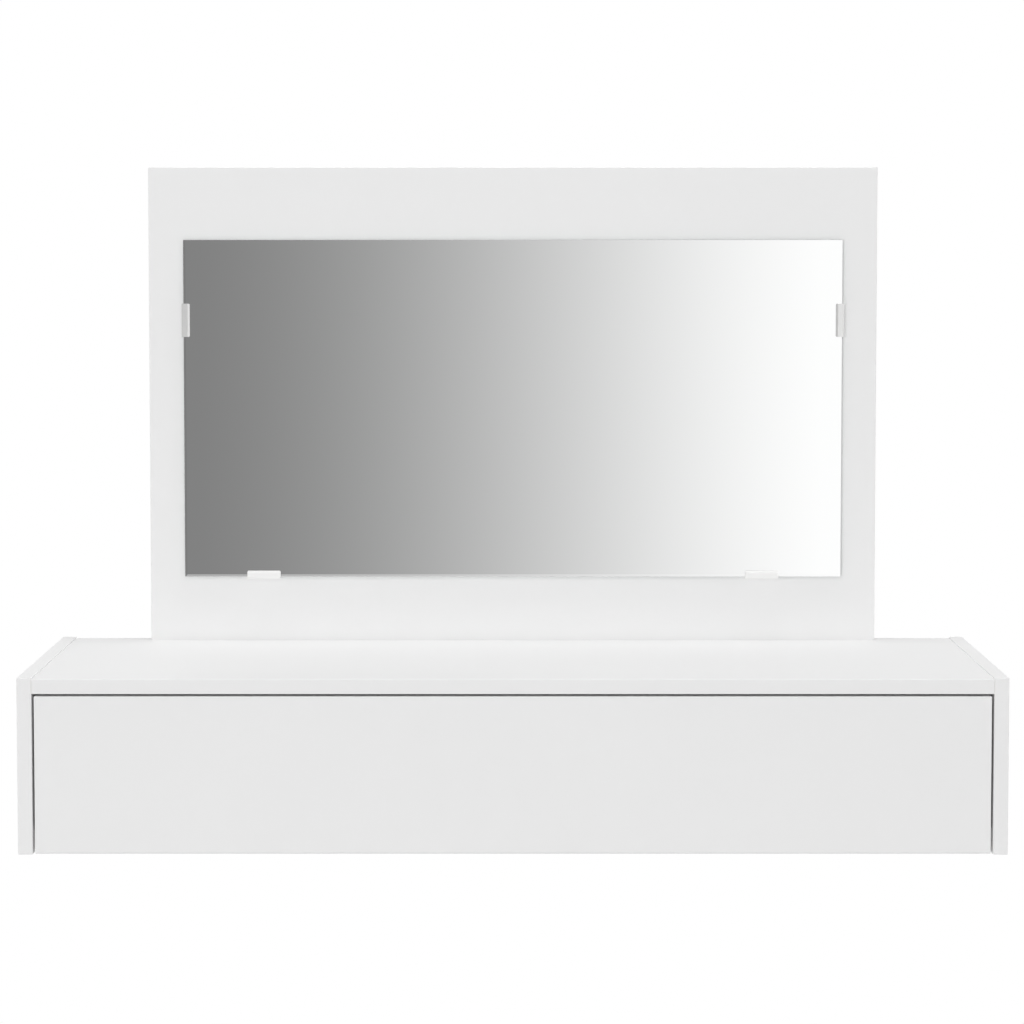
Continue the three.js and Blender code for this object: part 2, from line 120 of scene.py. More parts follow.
# Mirror clips: u runs outwards from the glass edge, v forwards from the panel
CLIP_BASE = 2 * MM
CLIP_BASE_REACH = 14 * MM
CLIP_WEB = 1.6 * MM
CLIP_LIP_REACH = 6.8 * MM
CLIP_LIP = 1.5 * MM
CLIP_LIP_EDGE = 0.4 * MM
CLIP_LIP_BEVEL = 2.2 * MM
CLIP_OUTER_BEVEL = 0.6 * MM
CLIP_CORNER = 1.5 * MM
CLIP_ARRIS = 0.2 * MM
CLIP_SCREW_INSET = 8 * MM
CLIP_SCREW_HOLE = 1.8 * MM
CLIP_SCREW_SINK = 3.3 * MM
CLIP_SINK_RISE = 0.1 * MM

# Front of the glass: bands inwards from the arris, each with its width and its rise
EDGE_STEP = 0.05 * MM
EDGE_BANDS = ((0.9 * MM, 0), (0.9 * MM, EDGE_STEP), (0.7 * MM, -0.006 * MM))

# Runners
STEEL = 1.2 * MM
FOLD = 1.2 * MM
ROLLER_WIDTH = 8.3 * MM
ROLLER_RADIUS = 9 * MM
ROLLER_RECESS = 1.6 * MM
ROLLER_CHAMFER = 0.6 * MM
ROLLER_GROOVE_INNER = 5.9 * MM
ROLLER_GROOVE_OUTER = 7.7 * MM
ROLLER_GROOVE = 0.5 * MM
RIVET_RADIUS = 3 * MM
RIVET_HEAD = 1 * MM
RIVET_HEAD_RADIUS = 4.6 * MM
RIVET_DOME_SHARES = ((1, 0.35), (0.86, 0.72), (0.55, 0.94), (0, 1))
RUNNER_TRAVEL = 185 * MM
STOP_HEIGHT = 2 * MM
STOP_ROUNDING = STEEL / 3
SLOT_HALF = 4 * MM
SLOT_RADIUS = 2.2 * MM
SLOT_SHARE = 0.999
PUNCH_RADIUS = 2.6 * MM
SLOT_OFFSET = 45 * MM
PUNCH_OFFSET = 20 * MM

# Cams
CAM_SLOT = 9 * MM
CAM_SLOT_WIDTH = 1.6 * MM
CAM_SLOT_DEPTH = 1.4 * MM
CAM_CHAMFER = 0.4 * MM
CAM_MARK = 0.5 * MM
CAM_MARK_SHARE = 0.8
BOLT_BORE = 3.8 * MM
WIDE_BORE = 5.5 * MM
LENGTH_DIGITS = 6
CAM_FACINGS_AND_ROLLS = {
    "top_left_front": (DOWN, 0.3),
    "top_left_rear": (DOWN, -0.2),
    "top_right_front": (DOWN, 0.3),
    "top_right_rear": (DOWN, -0.2),
    "back_left": (FORWARD, 0.15),
    "back_right": (FORWARD, 0.15),
    "drawer_left": (RIGHTWARD, 0.1),
    "drawer_right": (LEFTWARD, -0.25),
}

# Screws: radii, heights and lengths of the head, the cross recess, the thread, the hole and its sink
SCREW_TIP = 3 * MM
RECESS_WIDTH = 0.9 * MM
TURN_STEP = math.radians(37)
PAN_SCREW = SimpleNamespace(
    head=3.4 * MM, dome=0.6 * MM, height=1 * MM, thread=1.75 * MM, length=13.2 * MM,
    recess=1.7 * MM, recess_depth=0.65 * MM, hole=2.05 * MM)
PAN_DOME_SHARES = ((0, 0), (0.59, 0.05), (0.85, 0.33), (1, 1))
BACK_SCREW = SimpleNamespace(
    head=3.5 * MM, rim=0.3 * MM, cone=2.5 * MM, thread=2 * MM, length=32 * MM,
    recess=2 * MM, recess_depth=1.2 * MM, hole=2.3 * MM, sink=3.8 * MM, sink_depth=2.8 * MM)
PANEL_SCREW = SimpleNamespace(
    head=5 * MM, rim=2 * MM, cone=3.5 * MM, thread=3.5 * MM, length=50 * MM,
    recess=2.7 * MM, recess_depth=1.6 * MM, hole=3.8 * MM, sink=5.3 * MM, sink_depth=3.8 * MM)

# Finishes: roughness of the films, then flakes, fibres, runs and flecks
FILM_SPREAD = 0.06
DRAWER_DULLNESS = 0.04
FLAKE_SIZE = 2.2 * MM
FLAKE_STRETCH = (1, 1, 1.6)
FLAKE_TANS = ((0.0, (0.4, 0.28, 0.16)), (0.35, (0.56, 0.42, 0.26)), (0.7, (0.66, 0.52, 0.34)),
              (1.0, (0.76, 0.63, 0.45)))
PORE_COLOUR = (0.36, 0.25, 0.14, 1)
PORE_SHARE = 0.4
SCREEN_PITCH = 1.6 * MM
WAVE_DIVISOR = 20
FIBRE_BROWNS = ((0.2, 0.115, 0.06, 1), (0.37, 0.23, 0.13, 1))
FIBRE_SHARE = 0.6
RUN_STRETCH = (1, 1, 0.15)
BACKING_GREYS = ((0.19, 0.2, 0.2, 1), (0.25, 0.26, 0.26, 1))
BEECH_TONES = (0.78, 1.2, 0.5)
FLECK_LEVEL = 0.62
FLECK_SHARE = 0.45

# Studio that polished faces mirror: it brightens from left to right, as seen on a display
GRADIENT_HALF = 0.1085
GRADIENT_LOW = 0.515
GRADIENT_RISE = 0.5
GRADIENT_FALL = 0.055
GRADIENT_END = 0.25
DISPLAY = 2.2
BEHIND_TONE = 0.8
BEHIND_START = 0.12
BEHIND_END = 0.4
GROUND_START = -0.14
GROUND_END = -0.28

# Lamps, which look at the middle of the table
LAMP_AIM = Vector((0, -0.15, 0.2))
LAMPS = {
    "overhead": dict(direction=(0, -0.03, 1), distance=4, width=3, height=0.9),
    "high": dict(direction=(0, -1, 0.65), distance=4.5, width=3, height=1),
    "left": dict(direction=(-0.5, -1, 0.05), distance=9, width=2, height=1.5),
    "front": dict(direction=(0.05, -1, 0.05), distance=9, width=2, height=1.5),
    "side_left": dict(direction=(-1, 0.12, 0.05), distance=5, width=1.5, height=1),
    "side_right": dict(direction=(1, 0.12, 0.05), distance=5, width=1.5, height=1),
    "back": dict(direction=(0, 1, -0.1), distance=4, width=2.5, height=1),
}

# Floor: its side, the light that it gives and takes where it is seen, and where it fades into white
FLOOR_SIDE = 8
FLOOR_CUTS = 7
FLOOR_GLOW = 0.76
FLOOR_SOFT = 0.35
FLOOR_CLOUD = 0.7
FLOOR_PAINT = (0.79, 0.81)
FADE_START = 1.3
FADE_END = 2.1
SENSOR = 36


# Settings
def length_setting(name, description, default, low, high):
    return bpy.props.FloatProperty(name=name, description=description, default=default, min=low, max=high,
                                   precision=5, unit="LENGTH")


def colour_setting(name, description, default):
    return bpy.props.FloatVectorProperty(name=name, description=description, default=default, size=3,
                                         min=0, max=1, subtype="COLOR")


def power_setting(name, description, default):
    return bpy.props.FloatProperty(name=name, description=description, default=default, min=0,
                                   unit="POWER")


class BoardSettings(bpy.types.PropertyGroup):
    """Rounded edges and film of the boards"""

    edge_rounding: length_setting(
        "Edge rounding", "Radius of the banded edges of the boards", 0.8 * MM,
        low=0.2 * MM, high=2 * MM)
    front_rounding: length_setting(
        "Drawer front rounding", "Radius of the lower edge of the drawer front",
        3.5 * MM, low=0.5 * MM, high=6 * MM)
    film_colour: colour_setting(
        "Film", "Colour of the melamine film on the outer boards", SLOT_COLOURS["white_board"])
    drawer_colour: colour_setting(
        "Drawer film", "Colour of the film on the drawer's inner boards", SLOT_COLOURS["drawer_board"])
    lacquer_colour: colour_setting(
        "Drawer bottom", "Colour of the lacquer on the drawer bottom", SLOT_COLOURS["hardboard"])
    film_roughness: bpy.props.FloatProperty(
        name="Film roughness", description="Roughness of the melamine film",
        default=0.45, min=0.1, max=1, subtype="FACTOR")


class MirrorSettings(bpy.types.PropertyGroup):
    """Glass of the mirror and its clips"""

    arris: length_setting(
        "Arris", "Width of the ground edge round the front of the glass", 0.5 * MM,
        low=0.2 * MM, high=2 * MM)
    silver_colour: colour_setting(
        "Silvering", "Colour that the silvered glass reflects", (0.955, 0.96, 0.957))
    # The glass edge is lighter than clear glass: a painted glow that stands in for light carried through
    # the glass to its edge
    edge_colour_with_painted_glow: colour_setting(
        "Glass edge", "Colour of the polished edge of the glass", (0.74, 0.83, 0.8))
    plastic_colour: colour_setting(
        "Lower clips", "Colour of the moulded clips under the glass", (0.875, 0.875, 0.868))
    side_clip_colour: colour_setting(
        "Side clips", "Colour of the satin clips beside the glass", (0.77, 0.77, 0.765))


class FittingSettings(bpy.types.PropertyGroup):
    """Runners, rollers, cams and screws"""

    enamel_colour: colour_setting(
        "Runner enamel", "Colour of the stoved enamel on the runners", SLOT_COLOURS["runner_enamel"])
    nylon_colour: colour_setting("Rollers", "Colour of the nylon rollers", SLOT_COLOURS["nylon"])
    zinc_colour: colour_setting("Cams", "Colour of the die-cast cams", SLOT_COLOURS["zinc"])
    steel_colour: colour_setting("Screws", "Colour of the plated screws and bolts", SLOT_COLOURS["steel"])
    beech_colour: colour_setting("Dowels", "Colour of the beech dowels", SLOT_COLOURS["beech"])


class StudioSettings(bpy.types.PropertyGroup):
    """Camera, lamps, surround and floor"""

    camera_place: bpy.props.FloatVectorProperty(
        name="Camera", description="Place of the camera", default=(-0.0009, -3.1347, 0.5343),
        size=3, subtype="XYZ", unit="LENGTH")
    camera_tilt: bpy.props.FloatProperty(
        name="Camera tilt", description="Angle by which the camera looks below the horizon",
        default=math.radians(3.34), subtype="ANGLE")
    lens: bpy.props.FloatProperty(
        name="Lens", description="Focal length in millimetres", default=99.72, min=20, max=300)
    shift: bpy.props.FloatProperty(
        name="Shift", description="Upward shift of the lens as a share of the frame",
        default=-0.10, min=-0.12, max=0.12)
    surround: bpy.props.FloatProperty(
        name="Surround", description="Level of the even light from all round",
        default=0.47, min=0, max=2)
    overhead_power: power_setting("Overhead lamp", "Power of the lamp straight over the table", 84)
    high_power: power_setting("High lamp", "Power of the lamp over the camera", 22)
    left_power: power_setting("Left lamp", "Power of the lamp at the camera's left", 152)
    front_power: power_setting("Front lamp", "Power of the lamp beside the camera", 94)
    side_left_power: power_setting("Left side lamp", "Power of the lamp that looks at the left side", 12)
    side_right_power: power_setting(
        "Right side lamp", "Power of the lamp that looks at the right side", 28)
    back_power: power_setting("Back lamp", "Power of the lamp behind the table", 34)
    floor_drop: length_setting(
        "Floor drop", "Height of the box's middle over the floor", 0.85, low=0.2, high=2)


# Edit-mode helpers
def deselect():
    """Leaves edit mode and picks nothing"""
    if bpy.context.mode != "OBJECT":
        bpy.ops.object.mode_set(mode="OBJECT")
    bpy.ops.object.select_all(action="DESELECT")


def activate(obj):
    """Makes one object the only picked one and the active one"""
    deselect()
    obj.select_set(True)
    bpy.context.view_layer.objects.active = obj
    return obj


def settle(obj):
    """Moves an object's place, turn and scale into its mesh"""
    activate(obj)
    bpy.ops.object.transform_apply(location=True, rotation=True, scale=True)
    return obj


class Editing:
    """Opens an object in edit mode; faces, edges or vertices are picked by a test on each"""

    MODES = {"verts": "VERT", "edges": "EDGE", "faces": "FACE"}

    def __init__(self, obj):
        self.obj = obj

    def __enter__(self):
        activate(self.obj)
        bpy.ops.object.mode_set(mode="EDIT")
        return self

    def __exit__(self, kind, value, trace):
        bpy.ops.object.mode_set(mode="OBJECT")

    def everything(self):
        bpy.ops.mesh.select_all(action="SELECT")

    def pick(self, kind, test):
        """Picks the elements of a kind that pass the test and fails where there are none"""
        bpy.ops.mesh.select_mode(type=self.MODES[kind])
        bpy.ops.mesh.select_all(action="DESELECT")
        mesh = bmesh.from_edit_mesh(self.obj.data)
        chosen = [element for element in getattr(mesh, kind) if test(element)]
        if not chosen:
            raise RuntimeError(f"no {kind} of {self.obj.name} pass the test")
        for element in chosen:
            element.select_set(True)
        mesh.select_flush_mode()
        bmesh.update_edit_mesh(self.obj.data)

    def round_edges(self, radius, test, steps=ROUND_STEPS):
        """Rounds the edges that pass the test"""
        self.pick("edges", test)
        bpy.ops.mesh.bevel(offset=radius, offset_type="OFFSET", segments=steps, affect="EDGES")

    def paint(self, finish, test):
        """Gives the faces that pass the test one of the object's finishes"""
        self.pick("faces", test)
        self.obj.active_material_index = self.obj.data.materials.find(finishes[finish].name)
        bpy.ops.object.material_slot_assign()

    def recalculate(self):
        """Merges doubles and turns all faces outwards"""
        bpy.ops.mesh.select_mode(type="VERT")
        self.everything()
        bpy.ops.mesh.remove_doubles(threshold=DOUBLE)
        bpy.ops.mesh.normals_make_consistent(inside=False)


def middle_of(element):
    """Middle of an edge or a face"""
    return sum((vert.co for vert in element.verts), Vector()) / len(element.verts)


def near(value, place):
    return abs(value - place) < SAME_PLACE


def lies_at(**places):
    """Test for edges or faces whose middle has the given coordinates"""
    return lambda element: all(near(getattr(middle_of(element), axis), place)
                               for axis, place in places.items())


def faces_to(direction):
    """Test for faces that look straight along a direction"""
    return lambda face: face.normal.dot(direction) > STRAIGHT


def between(*directions):
    """Test for edges whose two faces both look away from the given directions, at an angle to each other"""
    def test(edge):
        normals = [face.normal for face in edge.link_faces]
        sharp = len(normals) == 2 and normals[0].angle(normals[1]) > CORNER_ANGLE
        return sharp and all(normal.dot(away) < MOSTLY for normal in normals for away in directions)
    return test


# Shapes
def add_block(name, corner, other):
    """Block between two opposite corners"""
    deselect()
    corner, other = Vector(corner), Vector(other)
    bpy.ops.mesh.primitive_cube_add(size=1, location=(corner + other) / 2)
    block = bpy.context.active_object
    block.name = block.data.name = name
    block.scale = [abs(length) for length in other - corner]
    return settle(block)


def add_rod(name, start, end, radius, end_radius=None, sides=BORE_SIDES):
    """Round rod or cone between two points"""
    deselect()
    line = Vector(end) - Vector(start)
    bpy.ops.mesh.primitive_cone_add(
        vertices=sides, radius1=radius, radius2=radius if end_radius is None else end_radius,
        depth=line.length, location=(Vector(start) + Vector(end)) / 2,
        rotation=line.to_track_quat("Z", "Y").to_euler())
    rod = bpy.context.active_object
    rod.name = rod.data.name = name
    return settle(rod)


def add_point(name, place):
    """Mesh of one vertex, left open in edit mode for extrusion"""
    deselect()
    bpy.ops.mesh.primitive_plane_add(size=MM, location=(0, 0, 0))
    point = bpy.context.active_object
    point.name = point.data.name = name
    bpy.ops.object.mode_set(mode="EDIT")
    bpy.ops.mesh.select_mode(type="VERT")
    bpy.ops.mesh.select_all(action="SELECT")
    bpy.ops.mesh.merge(type="CENTER")
    bpy.ops.transform.translate(value=place)
    return point


def extrude_through(places):
    """Extrudes the picked vertex from place to place"""
    for start, end in zip(places, places[1:]):
        bpy.ops.mesh.extrude_vertices_move(TRANSFORM_OT_translate={"value": Vector(end) - Vector(start)})


def add_turned(name, outline, sides=ROUND_SIDES):
    """Solid of revolution about Z from an outline of (radius, height)"""
    places = [(radius, 0, height) for radius, height in outline]
    turned = add_point(name, places[0])
    extrude_through(places)
    bpy.ops.mesh.select_all(action="SELECT")
    bpy.ops.mesh.spin(steps=sides, angle=math.tau, center=(0, 0, 0), axis=(0, 0, 1))
    bpy.ops.object.mode_set(mode="OBJECT")
    with Editing(turned) as edit:
        edit.recalculate()
    return turned


def add_bent_sheet(name, outline, front, rear):
    """Sheet of steel folded along an outline of (x, z) at the middle of its thickness"""
    places = [(x, front, z) for x, z in outline]
    sheet = add_point(name, places[0])
    extrude_through(places)
    bpy.ops.mesh.select_all(action="SELECT")
    bpy.ops.mesh.extrude_edges_move(TRANSFORM_OT_translate={"value": (0, rear - front, 0)})
    bpy.ops.object.mode_set(mode="OBJECT")
    folds = outline[1:-1]
    with Editing(sheet) as edit:
        edit.pick("edges", lambda edge: all(
            any(near(vert.co.x, x) and near(vert.co.z, z) for x, z in folds) for vert in edge.verts))
        bpy.ops.mesh.bevel(offset=FOLD, offset_type="OFFSET", segments=FOLD_STEPS, affect="EDGES")
        edit.recalculate()
    thicken = sheet.modifiers.new("thickness", "SOLIDIFY")
    thicken.thickness = STEEL
    thicken.offset = 0
    thicken.use_even_offset = True
    apply_modifier(sheet, thicken)
    with Editing(sheet) as edit:
        edit.recalculate()
    return sheet


def apply_modifier(obj, modifier):
    activate(obj)
    bpy.ops.object.modifier_apply(modifier=modifier.name)


def combine(obj, tools, operation):
    """Cuts tools from an object or joins them to it, and removes them"""
    for tool in tools:
        change = obj.modifiers.new("change", "BOOLEAN")
        change.operation = operation
        change.solver = "EXACT"
        change.material_mode = "TRANSFER"
        change.object = tool
        apply_modifier(obj, change)
        bpy.data.objects.remove(tool)
    return obj


def cut(obj, *tools):
    return combine(obj, tools, "DIFFERENCE")


def join(obj, *tools):
    return combine(obj, tools, "UNION")


def placed(obj, turn, place):
    """Turns an object about the origin and moves it"""
    obj.rotation_mode = "QUATERNION"
    obj.rotation_quaternion = turn
    obj.location = place
    return settle(obj)


def duplicate(obj, name):
    """Copy with its own mesh"""
    activate(obj)
    bpy.ops.object.duplicate(linked=False)
    copy = bpy.context.active_object
    copy.name = copy.data.name = name
    return copy


def copy_of(obj, name, turn, place):
    """Copy turned about the origin and then moved"""
    return placed(duplicate(obj, name), turn, place)


def mirrored(obj, name):
    """Copy on the other side of the table's middle"""
    copy = duplicate(obj, name)
    copy.scale.x = -1
    settle(copy)
    with Editing(copy) as edit:
        edit.recalculate()
    return copy


def aimed(direction, roll=0.0):
    """Turn that takes Z to a direction after a roll about it"""
    return Vector(direction).to_track_quat("Z", "Y") @ Quaternion((0, 0, 1), roll)


def coat(obj, *names):
    """Fills an object's material slots with finishes"""
    obj.data.materials.clear()
    for name in names:
        obj.data.materials.append(finishes[name])
    return obj


def node_of(obj):
    """Node that a piece is named after"""
    return obj.name.removeprefix(PREFIX)


def finished(obj, body, angle=SMOOTH_ANGLE):
    """Shades a piece, makes it ride on its body and lets it stand for its node"""
    activate(obj)
    bpy.ops.object.shade_smooth_by_angle(angle=angle)
    weights = obj.modifiers.new("weights", "WEIGHTED_NORMAL")
    weights.keep_sharp = True
    apply_modifier(obj, weights)
    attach(obj, body)
    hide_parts(node_of(obj))


def finished_pair(obj, body):
    """Finishes a piece of the right side and its mirror image"""
    for piece in (obj, mirrored(obj, obj.name.replace("right", "left"))):
        finished(piece, body)


# Bores
def line_of(node):
    """Axis, middle and radius of a turned node, from its box"""
    low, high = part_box(node)
    size = high - low
    for axis in (X, Y, Z):
        across = [size[other] for other in (X, Y, Z) if other != axis]
        if abs(across[0] - across[1]) < SEAT_GAP / 2:
            return axis, (low + high) / 2, max(across) / 2
    raise RuntimeError(f"{node} isn't round")


def mouth_of(node, driven, host=None):
    """Middle of the end at which a node, driven in a direction, enters its own box or a host's"""
    low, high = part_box(host or node)
    axis, mouth, _ = line_of(node)
    mouth[axis] = low[axis] if driven[axis] > 0 else high[axis]
    return mouth


def bore(host, node, radius=None):
    """Cutter for the bore that a fitting's node needs in a board"""
    low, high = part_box(host)
    start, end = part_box(node)
    axis, middle, own = line_of(node)
    near_end, far_end = middle.copy(), middle.copy()
    opens_low = start[axis] < low[axis] + OVERRUN / 2
    opens_high = end[axis] > high[axis] - OVERRUN / 2
    near_end[axis] = low[axis] - OVERRUN if opens_low else start[axis] - SEAT_GAP
    far_end[axis] = high[axis] + OVERRUN if opens_high else end[axis] + SEAT_GAP
    sides = ROUND_SIDES if own > WIDE_BORE else BORE_SIDES
    return coat(add_rod("bore", near_end, far_end, radius or own + SEAT_GAP, sides=sides), "chipboard")


def drill(board, *fittings, radius=None):
    """Bores a board for its fittings"""
    cut(board, *[bore(node_of(board), fitting, radius) for fitting in fittings])


def sink(mouth, driven, size):
    """Cutter for a screw's countersink"""
    wide = size.sink + (size.sink - size.hole) * OVERRUN / size.sink_depth
    return coat(add_rod("sink", mouth - driven * OVERRUN, mouth + driven * size.sink_depth,
                        wide, size.hole), "chipboard")


def sink_at(board, screw, driven, size):
    """Countersinks a board for a screw's node that is driven through it in a direction"""
    cut(board, sink(mouth_of(screw, driven, node_of(board)), driven, size))


def channel_cut(corner, other):
    """Cutter for a groove, a housing or a slot"""
    return coat(add_block("channel", corner, other), "chipboard")


def wall_hole(board, x, z):
    """Makes a countersunk hole through a board for a screw into the wall"""
    low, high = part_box(node_of(board))
    hole = add_rod("hole", (x, low.y - OVERRUN, z), (x, high.y + OVERRUN, z), WALL_SCREW.hole)
    cut(board, coat(hole, "chipboard"), sink(Vector((x, low.y, z)), REARWARD, WALL_SCREW))


# Materials
class Value:
    """Output of a node that takes part in Python expressions, which add Math nodes"""

    def __init__(self, shading, node, output):
        self.shading = shading
        self.node = node
        self.socket = node.outputs[output]

    def part(self, output):
        """Another output of the same node"""
        return Value(self.shading, self.node, output)

    def maths(self, operation, first, second):
        return self.shading.add("ShaderNodeMath", {"operation": operation}, {0: first, 1: second})

    def __add__(self, other):
        return self.maths("ADD", self, other)

    def __radd__(self, other):
        return self.maths("ADD", other, self)

    def __sub__(self, other):
        return self.maths("SUBTRACT", self, other)

    def __rsub__(self, other):
        return self.maths("SUBTRACT", other, self)

    def __mul__(self, other):
        return self.maths("MULTIPLY", self, other)

    def __rmul__(self, other):
        return self.maths("MULTIPLY", other, self)

    def __pow__(self, other):
        return self.maths("POWER", self, other)

    def __gt__(self, other):
        return self.maths("GREATER_THAN", self, other)

    def highest(self, other):
        return self.maths("MAXIMUM", self, other)


class Shading:
    """Nodes of a material or a world"""

    def __init__(self, owner):
        self.owner = owner
        owner.use_nodes = True
        self.tree = owner.node_tree

    def add(self, kind, settings=None, inputs=None, output=0):
        """Adds a node of a type: its settings first, then the values or links of its sockets"""
        node = self.tree.nodes.new(kind)
        for name, value in (settings or {}).items():
            if name == "stops":
                for stop, (place, colour) in zip(self.stops(node, len(value)), value):
                    stop.position = place
                    stop.color = (*colour, 1)
            else:
                setattr(node, name, value)
        self.feed(node, inputs or {})
        return Value(self, node, output)

    @staticmethod
    def stops(node, count):
        elements = node.color_ramp.elements
        while len(elements) < count:
            elements.new(1)
        return elements

    def feed(self, node, inputs):
        for key, value in inputs.items():
            if isinstance(value, Value):
                self.tree.links.new(value.socket, node.inputs[key])
            else:
                node.inputs[key].default_value = value

    def blend(self, factor, first, second):
        """Mix of two colours"""
        return self.add("ShaderNodeMix", {"data_type": "RGBA"}, {0: factor, 6: first, 7: second}, 2)

    def mix(self, factor, first, second):
        """Mix of two shaders"""
        return self.add("ShaderNodeMixShader", {}, {0: factor, 1: first, 2: second})

    def ramp(self, value, start, end, low=0, high=1, kind="LINEAR"):
        """Change from one level to another while a value goes from a start to an end"""
        return self.add("ShaderNodeMapRange", {"interpolation_type": kind},
                        {0: value, 1: start, 2: end, 3: low, 4: high})

    def place(self):
        return self.add("ShaderNodeTexCoord", output="Object")

    def stretched(self, place, scale):
        return self.add("ShaderNodeMapping", {}, {"Vector": place, "Scale": scale})

    def noise(self, place, size, detail=2.0, roughness=0.5):
        """Noise whose features are about a size across"""
        return self.add("ShaderNodeTexNoise", {}, {
            "Vector": place, "Scale": 1 / size, "Detail": detail, "Roughness": roughness})

    def bump(self, height, depth, strength=1.0):
        return self.add("ShaderNodeBump", {}, {"Strength": strength, "Distance": depth, "Height": height})


class Finish(Shading):
    """Procedural material of a surface"""

    def __init__(self, name, **constants):
        super().__init__(bpy.data.materials.new(name))
        self.shader = self.tree.nodes["Principled BSDF"]
        self.feed(self.shader, {key.replace("_", " "): value for key, value in constants.items()})

    def surface(self, colour, roughness, normal=None):
        self.feed(self.shader, {"Base Color": colour, "Roughness": roughness})
        if normal is not None:
            self.feed(self.shader, {"Normal": normal})
        return self.owner


def toned(colour, factor):
    """Colour made lighter or darker by a factor"""
    return (*[min(1.0, channel * factor) for channel in colour], 1)


def grey(level):
    return (level, level, level, 1)


def skin_finish(name, colour, tones, grain, roughness, spread, cloud=None, stretch=None, depth=0,
                strength=1, by_grain=False, **constants):
    """Skin with clouds in its tone and a fine grain, which shades the tone where there are no clouds"""
    finish = Finish(name, **constants)
    place = finish.place()
    grains = finish.noise(finish.stretched(place, stretch) if stretch else place, *grain)
    clouds = finish.noise(place, *cloud) if cloud else grains
    tone = finish.blend(clouds, *[toned(colour, factor) for factor in tones])
    rough = roughness + (grains if by_grain else clouds) * spread
    return finish.surface(tone, rough, finish.bump(grains, depth, strength) if depth else None)


def film_finish(name, colour, roughness):
    """White melamine film: faint clouds in the tone and the fine orange peel of the press plate"""
    return skin_finish(name, colour, tones=(0.992, 1.008), cloud=(110 * MM, 3), grain=(1.3 * MM, 1),
                       roughness=roughness, spread=FILM_SPREAD, depth=0.006 * MM, strength=0.5)


def lacquer_finish(colour):
    """White lacquer on hardboard: the faint flow of the roller that laid it on"""
    return skin_finish("drawer_bottom_lacquer", colour, tones=(0.99, 1.01), cloud=(90 * MM, 2),
                       grain=(3 * MM, 2), stretch=(1, 0.08, 1), roughness=0.46, spread=0.08,
                       depth=0.01 * MM, strength=0.6, by_grain=True)


def silver_finish(colour):
    """Silvered glass seen from the front"""
    return skin_finish("mirror_silvering", colour, tones=(0.998, 1.002), grain=(160 * MM, 2),
                       roughness=0.004, spread=0.004, Metallic=1.0)


def glass_edge_finish(colour):
    """Ground and polished edge of the glass with the fine lines of the wheel, in a colour lightened as a
    painted glow of the light that glass carries to its edge
    """
    return skin_finish("glass_edge", colour, tones=(0.85, 1.15), grain=(2 * MM, 3), stretch=(1, 6, 1),
                       roughness=0.12, spread=0.12, depth=0.01 * MM, strength=0.4, IOR=1.52)


def plastic_finish(name, colour, roughness, grain):
    """Moulded plastic: even colour, faint flow marks and the grain of the mould"""
    return skin_finish(name, colour, tones=(0.985, 1.015), cloud=(14 * MM, 2), grain=(grain, 1),
                       roughness=roughness, spread=0.08, depth=0.012 * MM, strength=0.5, IOR=1.49)


def satin_finish(colour):
    """Satin metallic skin on a moulded clip"""
    return skin_finish("side_clip_satin", colour, tones=(0.985, 1.015), cloud=(9 * MM, 2),
                       grain=(0.4 * MM, 2), roughness=0.17, spread=0.06, depth=0.002 * MM, strength=0.3,
                       by_grain=True, Metallic=0.36)


def enamel_finish(colour):
    """Stoved enamel on sheet steel: an even skin with soft orange peel"""
    return skin_finish("runner_enamel", colour, tones=(0.985, 1.01), cloud=(40 * MM, 2),
                       grain=(1.8 * MM, 1), roughness=0.3, spread=0.1, depth=0.02 * MM, strength=0.7,
                       IOR=1.5)


def zinc_finish(colour):
    """Die-cast zinc: dull, with the fine pits and cloudy tone of the casting"""
    return skin_finish("cast_zinc", colour, tones=(0.86, 1.12), cloud=(5 * MM, 2),
                       grain=(0.5 * MM, 4, 0.7), roughness=0.36, spread=0.2, depth=0.03 * MM,
                       strength=0.6, by_grain=True, Metallic=1.0)


def steel_finish(colour):
    """Zinc-plated steel: bright and slightly mottled"""
    return skin_finish("plated_steel", colour, tones=(0.9, 1.1), grain=(1.5 * MM, 3), roughness=0.2,
                       spread=0.16, depth=0.01 * MM, strength=0.4, Metallic=1.0)


def chipboard_finish():
    """Raw chipboard: pressed flakes of several tans with dark pores between them"""
    finish = Finish("chipboard")
    place = finish.place()
    flakes = finish.add("ShaderNodeTexVoronoi", {"feature": "F1"}, {
        "Vector": finish.stretched(place, FLAKE_STRETCH), "Scale": 1 / FLAKE_SIZE, "Randomness": 1.0})
    shade = finish.add("ShaderNodeSeparateXYZ", {}, {0: flakes.part("Color")})
    tans = finish.add("ShaderNodeValToRGB", {"stops": FLAKE_TANS}, {0: shade})
    grit = finish.noise(place, size=0.7 * MM, detail=3, roughness=0.7)
    height = flakes.part("Distance") + grit
    return finish.surface(finish.blend(grit * PORE_SHARE, tans, PORE_COLOUR), roughness=0.86,
                          normal=finish.bump(height, depth=0.12 * MM, strength=0.7))


def fibre_finish():
    """Brown fibre of the hardboard with the square mesh of the press screen"""
    finish = Finish("hardboard_fibre")
    place = finish.place()
    scale = math.tau / WAVE_DIVISOR / SCREEN_PITCH
    along, across = (finish.add("ShaderNodeTexWave", {"bands_direction": axis},
                                {"Vector": place, "Scale": scale}, "Fac") for axis in "XY")
    fibre = finish.noise(place, size=1.1 * MM, detail=4, roughness=0.7)
    height = along * across + fibre * FIBRE_SHARE
    return finish.surface(finish.blend(fibre, *FIBRE_BROWNS), roughness=0.8,
                          normal=finish.bump(height, depth=0.15 * MM, strength=0.8))


